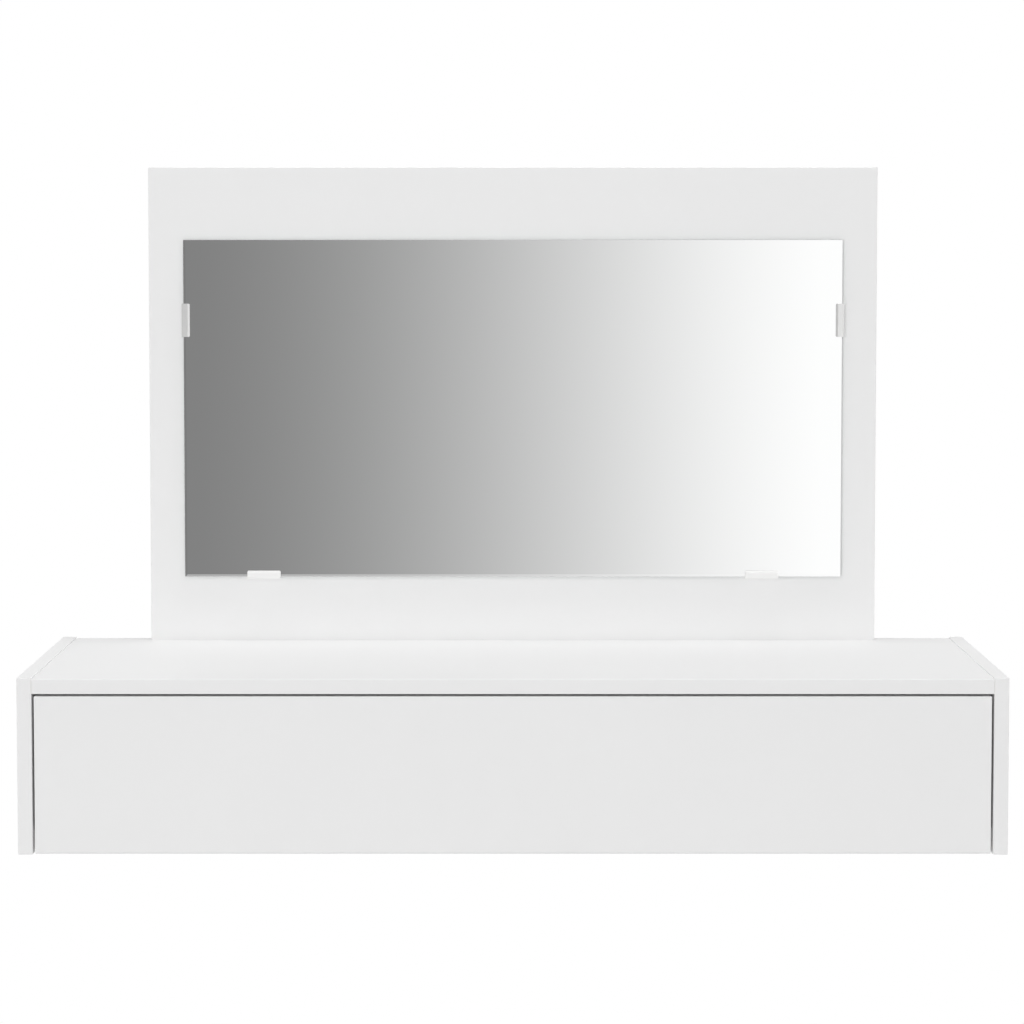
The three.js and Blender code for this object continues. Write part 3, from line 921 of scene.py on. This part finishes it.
def backing_finish():
    """Grey paint that protects the silvering at the back"""
    finish = Finish("mirror_backing")
    runs = finish.noise(finish.stretched(finish.place(), RUN_STRETCH), size=12 * MM, detail=3)
    return finish.surface(finish.blend(runs, *BACKING_GREYS), roughness=0.5 + runs * 0.15,
                          normal=finish.bump(runs, depth=0.02 * MM, strength=0.5))


def beech_finish(name, colour, along):
    """Turned beech: fine fibre and short dark flecks along the dowel"""
    finish = Finish(name)
    grain = finish.stretched(finish.place(), along)
    fibre = finish.noise(grain, size=0.5 * MM, detail=4, roughness=0.6)
    flecks = finish.noise(grain, size=1.2 * MM, detail=1) > FLECK_LEVEL
    pale, rich, dark = (toned(colour, factor) for factor in BEECH_TONES)
    tone = finish.blend(flecks * FLECK_SHARE, finish.blend(fibre, pale, rich), dark)
    return finish.surface(tone, roughness=0.55 + fibre * 0.15,
                          normal=finish.bump(fibre, depth=0.05 * MM, strength=0.6))


finishes = {}


class DRESSING_OT_finishes(bpy.types.Operator):
    """Makes the materials of all pieces"""

    bl_idname = "dressing.finishes"
    bl_label = "Finishes"

    def execute(self, context):
        boards = context.scene.dressing_boards
        mirror = context.scene.dressing_mirror
        fittings = context.scene.dressing_fittings
        least = boards.film_roughness - FILM_SPREAD / 2
        finishes.update({
            "film": film_finish("white_film", boards.film_colour, least),
            "drawer_film": film_finish("drawer_film", boards.drawer_colour, least + DRAWER_DULLNESS),
            "chipboard": chipboard_finish(),
            "lacquer": lacquer_finish(boards.lacquer_colour),
            "fibre": fibre_finish(),
            "silver": silver_finish(mirror.silver_colour),
            "glass_edge": glass_edge_finish(mirror.edge_colour_with_painted_glow),
            "backing": backing_finish(),
            "clip_plastic": plastic_finish("clip_plastic", mirror.plastic_colour,
                                           roughness=0.28, grain=0.6 * MM),
            "side_clip": satin_finish(mirror.side_clip_colour),
            "nylon": plastic_finish("roller_nylon", fittings.nylon_colour,
                                    roughness=0.38, grain=0.9 * MM),
            "enamel": enamel_finish(fittings.enamel_colour),
            "zinc": zinc_finish(fittings.zinc_colour),
            "steel": steel_finish(fittings.steel_colour),
            "upright_beech": beech_finish("upright_beech", fittings.beech_colour, along=(1, 1, 0.08)),
            "level_beech": beech_finish("level_beech", fittings.beech_colour, along=(1, 0.08, 1)),
        })
        return {"FINISHED"}


# Boards
def add_board(node, raw, radius, film="film"):
    """Board on its node's box: film on its faces, bands on its edges but for the raw ones"""
    board = coat(add_block(PREFIX + node, *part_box(node)), film, "chipboard")
    with Editing(board) as edit:
        edit.round_edges(radius, between(*raw))
        edit.paint("chipboard", lambda face: any(faces_to(away)(face) for away in raw))
    return board


class DRESSING_OT_box(bpy.types.Operator):
    """Adds the top board, the side panels and the back panel with the bores for their fittings"""

    bl_idname = "dressing.box"
    bl_label = "Box"

    def execute(self, context):
        radius = context.scene.dressing_boards.edge_rounding
        top = add_board("top_board", (LEFTWARD, RIGHTWARD, REARWARD), radius)
        for side in SIDES:
            for place in ENDS:
                drill(top, f"cam_bolt_top_{side}_{place}", f"cam_top_{side}_{place}")
            drill(top, f"dowel_back_{side}")
        for place in THIRDS:
            drill(top, f"mirror_panel_screw_{place}", radius=PANEL_SCREW.hole)
            sink_at(top, f"mirror_panel_screw_{place}", UP, PANEL_SCREW)
        finished(top, "carcass")

        side_panel = add_board("side_panel_right", (REARWARD,), radius)
        drill(side_panel, "cam_bolt_top_right_front", "cam_bolt_top_right_rear", "cam_bolt_back_right",
              radius=THREAD_RADIUS + SEAT_GAP)
        drill(side_panel, *[f"cabinet_runner_screw_right_{place}" for place in ENDS],
              radius=PAN_SCREW.hole)
        finished_pair(side_panel, "carcass")

        back = add_board("back_panel", (LEFTWARD, RIGHTWARD, UP), radius)
        low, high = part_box("back_panel")
        for side, x in (("left", low.x + WALL_HOLE_INSET), ("right", high.x - WALL_HOLE_INSET)):
            drill(back, f"cam_bolt_back_{side}", f"cam_back_{side}", f"dowel_back_{side}")
            for z in (low.z + WALL_HOLE_EDGE, high.z - WALL_HOLE_EDGE):
                wall_hole(back, x, z)
        finished(back, "carcass")
        return {"FINISHED"}


class DRESSING_OT_mirror_panel(bpy.types.Operator):
    """Adds the board that stands on the top board and carries the mirror"""

    bl_idname = "dressing.mirror_panel"
    bl_label = "Mirror panel"

    def execute(self, context):
        panel = add_board("mirror_panel", (DOWN,), context.scene.dressing_boards.edge_rounding)
        drill(panel, *[f"mirror_panel_screw_{place}" for place in THIRDS], radius=PANEL_SCREW.hole)
        drill(panel, *[f"clip_screw_{place}" for place in CLIP_PLACES], radius=CLIP_SCREW_HOLE)
        low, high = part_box("mirror_glass")
        for x in (low.x + MIRROR_HOLE_INSET, high.x - MIRROR_HOLE_INSET):
            wall_hole(panel, x, high.z - MIRROR_HOLE_DROP)
        finished(panel, "carcass")
        return {"FINISHED"}


# Mirror
class DRESSING_OT_glass(bpy.types.Operator):
    """Adds the silvered glass with its ground edge and painted back"""

    bl_idname = "dressing.glass"
    bl_label = "Mirror glass"

    def execute(self, context):
        arris = context.scene.dressing_mirror.arris
        low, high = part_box("mirror_glass")
        face = low.y + EDGE_STEP
        glass = add_block(PREFIX + "mirror_glass", (low.x, face, low.z), high)
        coat(glass, "silver", "glass_edge", "backing")
        with Editing(glass) as edit:
            edit.round_edges(arris, lies_at(y=face), CHAMFER_STEPS)
            edit.round_edges(arris / 2, lies_at(y=high.y), CHAMFER_STEPS)
            edit.pick("faces", faces_to(FORWARD))
            for width, forward in EDGE_BANDS:
                bpy.ops.mesh.inset(thickness=width, depth=0)
                bpy.ops.transform.translate(value=FORWARD * forward)
            edit.paint("glass_edge", lambda side: abs(side.normal.y) < MOSTLY
                       and middle_of(side).y > face + arris)
            edit.paint("backing", faces_to(REARWARD))
        finished(glass, "carcass", GLASS_SMOOTH_ANGLE)
        return {"FINISHED"}


class DRESSING_OT_clips(bpy.types.Operator):
    """Models one mirror clip, a hook with a bevelled lip, and copies it to the other edges"""

    bl_idname = "dressing.clips"
    bl_label = "Mirror clips"

    def execute(self, context):
        low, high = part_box("mirror_clip_right")
        half = (high.z - low.z) / 2
        glass_low, glass_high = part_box("mirror_glass")
        outer = SEAT_GAP + CLIP_WEB
        seat = CLIP_BASE + (glass_high.y - glass_low.y) + 2 * SEAT_GAP
        top = seat + CLIP_LIP

        # u is x and v is -y here, with the glass edge and the panel's face at the origin
        clip = add_block(PREFIX + "mirror_clip_right", (-CLIP_BASE_REACH, -top, -half), (outer, 0, half))
        with Editing(clip) as edit:
            edit.round_edges(CLIP_OUTER_BEVEL, lies_at(x=outer, y=-top), FINE_STEPS)
        cut(clip,
            add_block("seat", (-CLIP_BASE_REACH - OVERRUN, -seat, -half - OVERRUN),
                      (SEAT_GAP, -CLIP_BASE, half + OVERRUN)),
            add_block("reach", (-CLIP_BASE_REACH - OVERRUN, -top - OVERRUN, -half - OVERRUN),
                      (-CLIP_LIP_REACH, -seat + CLIP_LIP / 2, half + OVERRUN)))
        with Editing(clip) as edit:
            edit.round_edges(CLIP_CORNER, lambda edge: near(middle_of(edge).x, -CLIP_LIP_REACH)
                             and near(abs(middle_of(edge).z), half) and middle_of(edge).y < -seat,
                             FINE_STEPS)
            slope = Vector((CLIP_LIP_EDGE - CLIP_LIP, -CLIP_LIP_BEVEL, 0)).normalized()
            edit.everything()
            bpy.ops.mesh.bisect(plane_co=(-CLIP_LIP_REACH, -seat - CLIP_LIP_EDGE, 0), plane_no=slope,
                                use_fill=True, clear_outer=True)
        cut(clip,
            add_rod("hole", (-CLIP_SCREW_INSET, OVERRUN, 0), (-CLIP_SCREW_INSET, -CLIP_BASE - OVERRUN, 0),
                    CLIP_SCREW_HOLE),
            add_rod("sink", (-CLIP_SCREW_INSET, -CLIP_BASE - CLIP_SINK_RISE, 0),
                    (-CLIP_SCREW_INSET, -CLIP_BASE + CLIP_LIP + SEAT_GAP, 0),
                    CLIP_SCREW_SINK, CLIP_SCREW_HOLE))
        arris = clip.modifiers.new("arris", "BEVEL")
        arris.width = CLIP_ARRIS
        arris.segments = ARRIS_STEPS
        arris.limit_method = "ANGLE"
        arris.angle_limit = ARRIS_ANGLE
        apply_modifier(clip, arris)

        panel_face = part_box("mirror_panel")[0].y
        side_middle = Vector((glass_high.x, panel_face, (low.z + high.z) / 2))
        bottom_low, bottom_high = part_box("mirror_clip_bottom_right")
        bottom = Vector(((bottom_low.x + bottom_high.x) / 2, panel_face, glass_low.z))
        clips = [copy_of(clip, f"{PREFIX}mirror_clip_{place}", Quaternion(REARWARD, turn), middle)
                 for place, turn, middle in (("left", math.pi, side_middle * OTHER_SIDE),
                                             ("bottom_right", math.pi / 2, bottom),
                                             ("bottom_left", math.pi / 2, bottom * OTHER_SIDE))]
        clip.location = side_middle
        for piece in (*clips, settle(clip)):
            coat(piece, "clip_plastic" if "bottom" in piece.name else "side_clip")
            finished(piece, "carcass", CLIP_SMOOTH_ANGLE)
        return {"FINISHED"}


# Drawer
class DRESSING_OT_drawer(bpy.types.Operator):
    """Adds the drawer's front, sides, back and bottom with their grooves, housings and bores"""

    bl_idname = "dressing.drawer"
    bl_label = "Drawer boards"

    def execute(self, context):
        settings = context.scene.dressing_boards
        low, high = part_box("drawer_front")
        bottom_low, bottom_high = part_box("drawer_bottom")
        side_low, side_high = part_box("drawer_side_right")
        back_low, back_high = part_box("drawer_back")
        gap = Vector((SEAT_GAP, SEAT_GAP, SEAT_GAP))
        groove_low, groove_high = bottom_low - gap, bottom_high + gap

        front = coat(add_block(PREFIX + "drawer_front", low, high), "film", "chipboard")
        with Editing(front) as edit:
            edit.round_edges(settings.front_rounding, lies_at(y=low.y, z=low.z), SOFT_STEPS)
            edit.round_edges(settings.edge_rounding, between())
        for side in SIDES:
            drill(front, f"cam_bolt_drawer_{side}", radius=THREAD_RADIUS + SEAT_GAP)
            drill(front, f"dowel_drawer_{side}")
        cut(front, channel_cut(groove_low, groove_high))
        finished(front, "drawer")

        side = add_block(PREFIX + "drawer_side_right", side_low, side_high)
        coat(side, "drawer_film", "chipboard")
        middle = (side_low.y + side_high.y) / 2
        with Editing(side) as edit:
            edit.round_edges(SIDE_TOP_ROUNDING, lies_at(y=middle, z=side_high.z), FINE_STEPS)
            edit.round_edges(SIDE_FOOT_ROUNDING, lies_at(y=middle, z=side_low.z))
            edit.paint("chipboard", lambda face: abs(face.normal.y) > MOSTLY)
        drill(side, "cam_bolt_drawer_right", "cam_drawer_right", "dowel_drawer_right")
        drill(side, "drawer_back_screw_right", radius=BACK_SCREW.hole)
        drill(side, *[f"drawer_runner_screw_right_{place}" for place in ENDS], radius=PAN_SCREW.hole)
        cut(side,
            channel_cut((side_low.x - OVERRUN, side_low.y - OVERRUN, groove_low.z),
                        (side_low.x + GROOVE_DEPTH, groove_high.y, groove_high.z)),
            channel_cut((side_low.x - OVERRUN, back_low.y - SEAT_GAP, groove_high.z - SEAT_GAP),
                        (side_low.x + HOUSING_DEPTH, back_high.y + SEAT_GAP, side_high.z + OVERRUN)))
        sink_at(side, "drawer_back_screw_right", LEFTWARD, BACK_SCREW)
        finished_pair(side, "drawer")

        back = add_board("drawer_back", (LEFTWARD, RIGHTWARD, DOWN), settings.edge_rounding, "drawer_film")
        drill(back, *[f"drawer_back_screw_{side}" for side in SIDES], radius=BACK_SCREW.hole)
        finished(back, "drawer")

        bottom = add_block(PREFIX + "drawer_bottom", bottom_low, bottom_high)
        coat(bottom, "lacquer", "fibre")
        with Editing(bottom) as edit:
            edit.round_edges(RAW_ARRIS, lies_at(z=bottom_high.z), CHAMFER_STEPS)
            edit.paint("fibre", lambda face: face.normal.z < HALF_UP)
        finished(bottom, "drawer")
        return {"FINISHED"}


# Runners and rollers
def add_rivet(name, base, direction, length):
    """Rivet with a domed head: it stands on a base and its head starts at a length"""
    dome = [(RIVET_HEAD_RADIUS * across, length + RIVET_HEAD * along)
            for across, along in RIVET_DOME_SHARES]
    rivet = add_turned(name, [(0, -STEEL / 2), (RIVET_RADIUS, -STEEL / 2), (RIVET_RADIUS, length),
                              (RIVET_HEAD_RADIUS, length), *dome], BORE_SIDES)
    return placed(rivet, aimed(direction), base)


def punched(x, y, z, half):
    """Cutters for a slot with round ends, or a round hole where half is nothing, across a web"""
    ends = {y - half, y + half}
    tools = [add_rod("punch", (x - STEEL * 2, end, z), (x + STEEL * 2, end, z),
                     SLOT_RADIUS if half else PUNCH_RADIUS) for end in ends]
    if half:
        tools.append(add_block("punch", (x - STEEL * 2, y - half, z - SLOT_RADIUS * SLOT_SHARE),
                               (x + STEEL * 2, y + half, z + SLOT_RADIUS * SLOT_SHARE)))
    return tools


class DRESSING_OT_runners(bpy.types.Operator):
    """Folds the two runners of the right side from sheet steel and copies them to the left"""

    bl_idname = "dressing.runners"
    bl_label = "Runners"

    def execute(self, context):
        low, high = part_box("cabinet_runner_right")
        inset = STEEL / 2
        channel = add_bent_sheet(PREFIX + "cabinet_runner_right", (
            (low.x, low.z + inset), (high.x - inset, low.z + inset),
            (high.x - inset, high.z - inset), (low.x, high.z - inset)), low.y, high.y)
        roof_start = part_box("cabinet_roller_right")[1].y + OVERRUN
        web_face = high.x - STEEL
        cut(channel, add_block("opening", (low.x - OVERRUN, low.y - OVERRUN, high.z - 2 * STEEL),
                               (web_face - SEAT_GAP, roof_start, high.z + OVERRUN)))
        height = (low.z + high.z) / 2
        middle = (low.y + high.y) / 2
        for offset in (-SLOT_OFFSET, SLOT_OFFSET):
            cut(channel, *punched(high.x - inset, middle + offset, height, SLOT_HALF))
        for offset in (-PUNCH_OFFSET, PUNCH_OFFSET):
            cut(channel, *punched(high.x - inset, middle + offset, height, 0))
        for place in ENDS:
            _, screw_line, _ = line_of(f"cabinet_runner_screw_right_{place}")
            cut(channel, add_rod("punch", (high.x + OVERRUN, screw_line.y, screw_line.z),
                                 (web_face - OVERRUN, screw_line.y, screw_line.z), PAN_SCREW.hole))
        _, drawer_roller, _ = line_of("drawer_roller_right")
        floor = low.z + STEEL
        lift = ROLLER_RADIUS + SEAT_GAP - STOP_HEIGHT
        reach = math.sqrt(ROLLER_RADIUS ** 2 - lift ** 2) + SEAT_GAP
        for rear in (drawer_roller.y - RUNNER_TRAVEL - reach, drawer_roller.y + reach + STEEL):
            stop = add_block("stop", (low.x + SEAT_GAP, rear - STEEL, floor - inset),
                             (web_face - SEAT_GAP, rear, floor + STOP_HEIGHT))
            with Editing(stop) as edit:
                edit.round_edges(STOP_ROUNDING, lies_at(z=floor + STOP_HEIGHT))
            join(channel, stop)
        head_start = RUNNING_GAP + ROLLER_WIDTH - ROLLER_RECESS + SEAT_GAP
        _, roller, _ = line_of("cabinet_roller_right")
        join(channel, add_rivet("rivet", (web_face, roller.y, roller.z), LEFTWARD, head_start))
        finished_pair(coat(channel, "enamel"), "carcass")

        low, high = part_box("drawer_runner_right")
        side_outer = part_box("drawer_side_right")[1].x
        angle = add_bent_sheet(PREFIX + "drawer_runner_right", (
            (low.x, low.z + inset), (side_outer + inset, low.z + inset),
            (side_outer + inset, high.z - inset), (high.x, high.z - inset)), low.y, high.y)
        for place in ENDS:
            _, screw_line, _ = line_of(f"drawer_runner_screw_right_{place}")
            cut(angle, add_rod("punch", (screw_line.x, screw_line.y, low.z - OVERRUN),
                               (screw_line.x, screw_line.y, low.z + STEEL + OVERRUN), PAN_SCREW.hole))
        for offset in (-SLOT_OFFSET, SLOT_OFFSET):
            cut(angle, *punched(side_outer + inset, middle + offset, height, SLOT_HALF))
        join(angle, add_rivet("rivet", (side_outer + STEEL, drawer_roller.y, drawer_roller.z), RIGHTWARD,
                              head_start))
        finished_pair(coat(angle, "enamel"), "drawer")
        return {"FINISHED"}


class DRESSING_OT_rollers(bpy.types.Operator):
    """Turns one nylon roller, with a recess for its rivet's head, and copies it to its four places"""

    bl_idname = "dressing.rollers"
    bl_label = "Rollers"

    def execute(self, context):
        hole = RIVET_RADIUS + SEAT_GAP
        recess = RIVET_HEAD_RADIUS + SEAT_GAP
        width = ROLLER_WIDTH
        tread = ROLLER_RADIUS
        roller = add_turned("roller", [
            (hole, 0), (tread - ROLLER_CHAMFER, 0), (tread, ROLLER_CHAMFER),
            (tread, width - ROLLER_CHAMFER), (tread - ROLLER_CHAMFER, width),
            (ROLLER_GROOVE_OUTER, width), (ROLLER_GROOVE_OUTER - ROLLER_GROOVE / 2, width - ROLLER_GROOVE),
            (ROLLER_GROOVE_INNER + ROLLER_GROOVE / 2, width - ROLLER_GROOVE), (ROLLER_GROOVE_INNER, width),
            (recess, width), (recess, width - ROLLER_RECESS), (hole, width - ROLLER_RECESS), (hole, 0)])
        coat(roller, "nylon")
        for kind, ways in (("cabinet", (RIGHTWARD, LEFTWARD)), ("drawer", (LEFTWARD, RIGHTWARD))):
            for side, way in zip(SIDES, ways):
                node = f"{kind}_roller_{side}"
                finished(copy_of(roller, PREFIX + node, aimed(way), mouth_of(node, way)), node)
        bpy.data.objects.remove(roller)
        return {"FINISHED"}


# Cams and screws
def add_cam(depth):
    """Cam whose face is at the origin and looks along -Z, gripping a bolt that lies along X"""
    low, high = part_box("cam_back_right")
    radius = (high.z - low.z) / 2
    cam = add_turned("cam", [
        (0, 0), (radius - CAM_CHAMFER, 0), (radius, CAM_CHAMFER), (radius, depth), (0, depth)])
    half = CAM_SLOT / 2
    for reach, across in ((half, CAM_SLOT_WIDTH / 2), (CAM_SLOT_WIDTH / 2, half)):
        cut(cam, add_block("slot", (-reach, -across, -OVERRUN), (reach, across, CAM_SLOT_DEPTH)))
    marked = radius * CAM_MARK_SHARE
    return cut(cam, add_rod("mark", (marked, 0, -OVERRUN), (marked, 0, CAM_MARK), CAM_MARK, sides=3))


class DRESSING_OT_cams(bpy.types.Operator):
    """Models a cam with its cross slot for each board thickness and copies it to its places"""

    bl_idname = "dressing.cams"
    bl_label = "Cams"

    def execute(self, context):
        models = {}
        for label, (facing, roll) in CAM_FACINGS_AND_ROLLS.items():
            node, bolt = f"cam_{label}", f"cam_bolt_{label}"
            low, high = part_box(node)
            depth = round(abs((high - low).dot(facing)), LENGTH_DIGITS)
            if depth not in models:
                models[depth] = add_cam(depth)
            piece = copy_of(models[depth], PREFIX + node, aimed(-facing, roll), mouth_of(node, -facing))
            start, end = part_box(bolt)
            axis, middle, _ = line_of(bolt)
            for point, gap in ((start, -SEAT_GAP), (end, SEAT_GAP)):
                reach = point[axis] + gap
                point[:] = middle
                point[axis] = reach
            cut(piece, add_rod("bore", start, end, BOLT_BORE))
            finished(coat(piece, "zinc"), "drawer" if "drawer" in label else "carcass")
        for model in models.values():
            bpy.data.objects.remove(model)
        return {"FINISHED"}


def add_screw(name, size, top):
    """Screw that drives along Z from the outline of its head at the origin, with a cross recess"""
    outline = [*top, (size.thread, size.length - SCREW_TIP), (0, size.length)]
    screw = add_turned(name, outline, BORE_SIDES)
    half = RECESS_WIDTH / 2
    for reach, across in ((size.recess, half), (half, size.recess)):
        cut(screw, add_block("recess", (-reach, -across, -OVERRUN), (reach, across, size.recess_depth)))
    return coat(screw, "steel")


def sunk_head(size):
    """Outline of a countersunk head"""
    return (0, 0), (size.head, 0), (size.head, size.rim), (size.thread, size.cone)


class DRESSING_OT_screws(bpy.types.Operator):
    """Models each kind of screw once and copies it to its places with its own turn"""

    bl_idname = "dressing.screws"
    bl_label = "Screws"

    def execute(self, context):
        pan = add_screw("pan_screw", PAN_SCREW, (
            *[(PAN_SCREW.head * across, PAN_SCREW.dome * along) for across, along in PAN_DOME_SHARES],
            (PAN_SCREW.head, PAN_SCREW.height), (PAN_SCREW.thread, PAN_SCREW.height)))
        back_screw = add_screw("back_screw", BACK_SCREW, sunk_head(BACK_SCREW))
        panel_screw = add_screw("panel_screw", PANEL_SCREW, sunk_head(PANEL_SCREW))
        uses = []
        for side, outward in zip(SIDES, (LEFTWARD, RIGHTWARD)):
            for place in ENDS:
                uses.append((pan, f"cabinet_runner_screw_{side}_{place}", outward, "carcass"))
                uses.append((pan, f"drawer_runner_screw_{side}_{place}", UP, "drawer"))
            uses.append((back_screw, f"drawer_back_screw_{side}", -outward, "drawer"))
        for place in THIRDS:
            uses.append((panel_screw, f"mirror_panel_screw_{place}", UP, "carcass"))
        for number, (model, node, driven, body) in enumerate(uses):
            piece = copy_of(model, PREFIX + node, aimed(driven, number * TURN_STEP),
                            mouth_of(node, driven))
            finished(piece, body)
        for model in (pan, back_screw, panel_screw):
            bpy.data.objects.remove(model)
        return {"FINISHED"}


class DRESSING_OT_inner_fittings(bpy.types.Operator):
    """Gives the bolts, dowels and clip screws inside the boards their materials"""

    bl_idname = "dressing.inner_fittings"
    bl_label = "Inner fittings"

    def execute(self, context):
        for name, node in frame["nodes"].items():
            if name.startswith(("cam_bolt_", "clip_screw_")):
                coat(node, "steel")
            elif name.startswith("dowel_back_"):
                coat(node, "upright_beech")
            elif name.startswith("dowel_drawer_"):
                coat(node, "level_beech")
        return {"FINISHED"}


# Studio
def add_lamp(name, power, direction, distance, width, height):
    """Broad lamp that looks at the table from a direction"""
    deselect()
    away = Vector(direction).normalized()
    bpy.ops.object.light_add(type="AREA", location=LAMP_AIM + away * distance)
    lamp = bpy.context.active_object
    lamp.name = lamp.data.name = name
    lamp.rotation_euler = (-away).to_track_quat("-Z", "Y").to_euler()
    lamp.data.shape = "RECTANGLE"
    lamp.data.size = width
    lamp.data.size_y = height
    lamp.data.energy = power
    lamp.visible_camera = False
    lamp.visible_glossy = False


def surround_world(level):
    """White behind the table, an even light from all round, and a studio that polished faces mirror"""
    world = bpy.data.worlds.new("studio")
    bpy.context.scene.world = world
    shading = Shading(world)
    background = shading.tree.nodes["Background"]
    way = shading.add("ShaderNodeSeparateXYZ", {}, {
        0: shading.add("ShaderNodeTexCoord", output="Generated")})
    straight = shading.ramp(way, -GRADIENT_HALF, GRADIENT_HALF)
    curved = shading.ramp(way, -GRADIENT_HALF, GRADIENT_HALF, kind="SMOOTHSTEP")
    further = shading.ramp(way, -GRADIENT_END, -GRADIENT_HALF, GRADIENT_LOW - GRADIENT_FALL, GRADIENT_LOW)
    front = ((straight + curved) * (GRADIENT_RISE / 2) + further) ** DISPLAY
    ground = shading.ramp(way.part("Z"), GROUND_START, GROUND_END)
    front = front + ground * (1.0 - front)
    behind = shading.ramp(way.part("Y"), BEHIND_START, BEHIND_END)
    tone = front + behind * (BEHIND_TONE - front)
    ray = shading.add("ShaderNodeLightPath", output="Is Camera Ray")
    seen = ray.highest(ray.part("Is Transmission Ray"))
    studio = level + ray.part("Is Glossy Ray") * (tone - level)
    shading.feed(background, {"Strength": studio + seen * (1.0 - studio), "Color": grey(1)})


def floor_material():
    """Pale floor: white where it is seen, plain paint for the light, clear for the studio in the mirror"""
    shading = Shading(bpy.data.materials.new("pale_floor"))
    shading.tree.nodes.remove(shading.tree.nodes["Principled BSDF"])
    place = shading.place()
    cloud = shading.noise(place, size=FLOOR_CLOUD, detail=2)
    paint = shading.blend(cloud, *[grey(level) for level in FLOOR_PAINT])
    plain = shading.add("ShaderNodeBsdfDiffuse", {}, {"Color": paint})
    soft = shading.add("ShaderNodeBsdfDiffuse", {}, {"Color": grey(FLOOR_SOFT)})
    glow = shading.add("ShaderNodeEmission", {}, {"Color": grey(1), "Strength": FLOOR_GLOW})
    near_table = shading.add("ShaderNodeAddShader", {}, {0: soft, 1: glow})
    white = shading.add("ShaderNodeEmission", {}, {"Color": grey(1), "Strength": 1.0})
    distance = shading.add("ShaderNodeVectorMath", {"operation": "LENGTH"}, {0: place}, "Value")
    fade = shading.ramp(distance, FADE_START, FADE_END, kind="SMOOTHSTEP")
    ray = shading.add("ShaderNodeLightPath", output="Is Camera Ray")
    top = shading.mix(ray, plain, shading.mix(fade, near_table, white))
    below = shading.add("ShaderNodeNewGeometry", output="Backfacing")
    hidden = below.highest(ray.part("Is Glossy Ray"))
    both = shading.mix(hidden, top, shading.add("ShaderNodeBsdfTransparent"))
    shading.feed(shading.tree.nodes["Material Output"], {"Surface": both})
    return shading.owner


class DRESSING_OT_studio(bpy.types.Operator):
    """Adds the camera, the lamps, the surround and the floor"""

    bl_idname = "dressing.studio"
    bl_label = "Studio"

    def execute(self, context):
        settings = context.scene.dressing_studio
        deselect()
        bpy.ops.object.camera_add(location=settings.camera_place,
                                  rotation=(math.pi / 2 - settings.camera_tilt, 0, 0))
        camera = bpy.context.active_object
        camera.name = camera.data.name = "camera"
        camera.data.lens = settings.lens
        camera.data.sensor_width = SENSOR
        camera.data.shift_y = settings.shift
        context.scene.camera = camera

        for name, lamp in LAMPS.items():
            add_lamp(f"{name}_lamp", getattr(settings, f"{name}_power"), **lamp)
        surround_world(settings.surround)

        deselect()
        bpy.ops.mesh.primitive_plane_add(size=1, location=(0, 0, -settings.floor_drop))
        floor = bpy.context.active_object
        floor.name = floor.data.name = "floor"
        floor.scale = (FLOOR_SIDE, FLOOR_SIDE, 1)
        settle(floor)
        with Editing(floor) as edit:
            edit.everything()
            bpy.ops.mesh.subdivide(number_cuts=FLOOR_CUTS)
        floor.data.materials.append(floor_material())
        context.scene.view_settings.view_transform = "Standard"
        return {"FINISHED"}


# Panel and registration
OPERATORS = (
    DRESSING_OT_finishes,
    DRESSING_OT_box,
    DRESSING_OT_mirror_panel,
    DRESSING_OT_glass,
    DRESSING_OT_clips,
    DRESSING_OT_drawer,
    DRESSING_OT_runners,
    DRESSING_OT_rollers,
    DRESSING_OT_cams,
    DRESSING_OT_screws,
    DRESSING_OT_inner_fittings,
    DRESSING_OT_studio,
)
SETTINGS = {
    "dressing_boards": BoardSettings,
    "dressing_mirror": MirrorSettings,
    "dressing_fittings": FittingSettings,
    "dressing_studio": StudioSettings,
}


class DRESSING_PT_panel(bpy.types.Panel):
    """Sidebar panel with the steps and the settings of the dressing table"""

    bl_idname = "DRESSING_PT_panel"
    bl_label = "Dressing table"
    bl_space_type = "VIEW_3D"
    bl_region_type = "UI"
    bl_category = "Dressing table"

    def draw(self, context):
        steps = self.layout.column(align=True)
        for operator in OPERATORS:
            steps.operator(operator.bl_idname)
        for attribute, group in SETTINGS.items():
            box = self.layout.box()
            box.label(text=group.bl_rna.description)
            for name in group.__annotations__:
                box.prop(getattr(context.scene, attribute), name)


def register():
    for group in SETTINGS.values():
        bpy.utils.register_class(group)
    for attribute, group in SETTINGS.items():
        setattr(bpy.types.Scene, attribute, bpy.props.PointerProperty(type=group))
    for operator in OPERATORS:
        bpy.utils.register_class(operator)
    bpy.utils.register_class(DRESSING_PT_panel)


def unregister():
    bpy.utils.unregister_class(DRESSING_PT_panel)
    for operator in reversed(OPERATORS):
        bpy.utils.unregister_class(operator)
    for attribute, group in SETTINGS.items():
        delattr(bpy.types.Scene, attribute)
        bpy.utils.unregister_class(group)


def main():
    """Builds the dressing table"""
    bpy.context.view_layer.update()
    register()
    for operator in OPERATORS:
        group, name = operator.bl_idname.split(".")
        getattr(getattr(bpy.ops, group), name)()


if __name__ == "__main__":
    main()
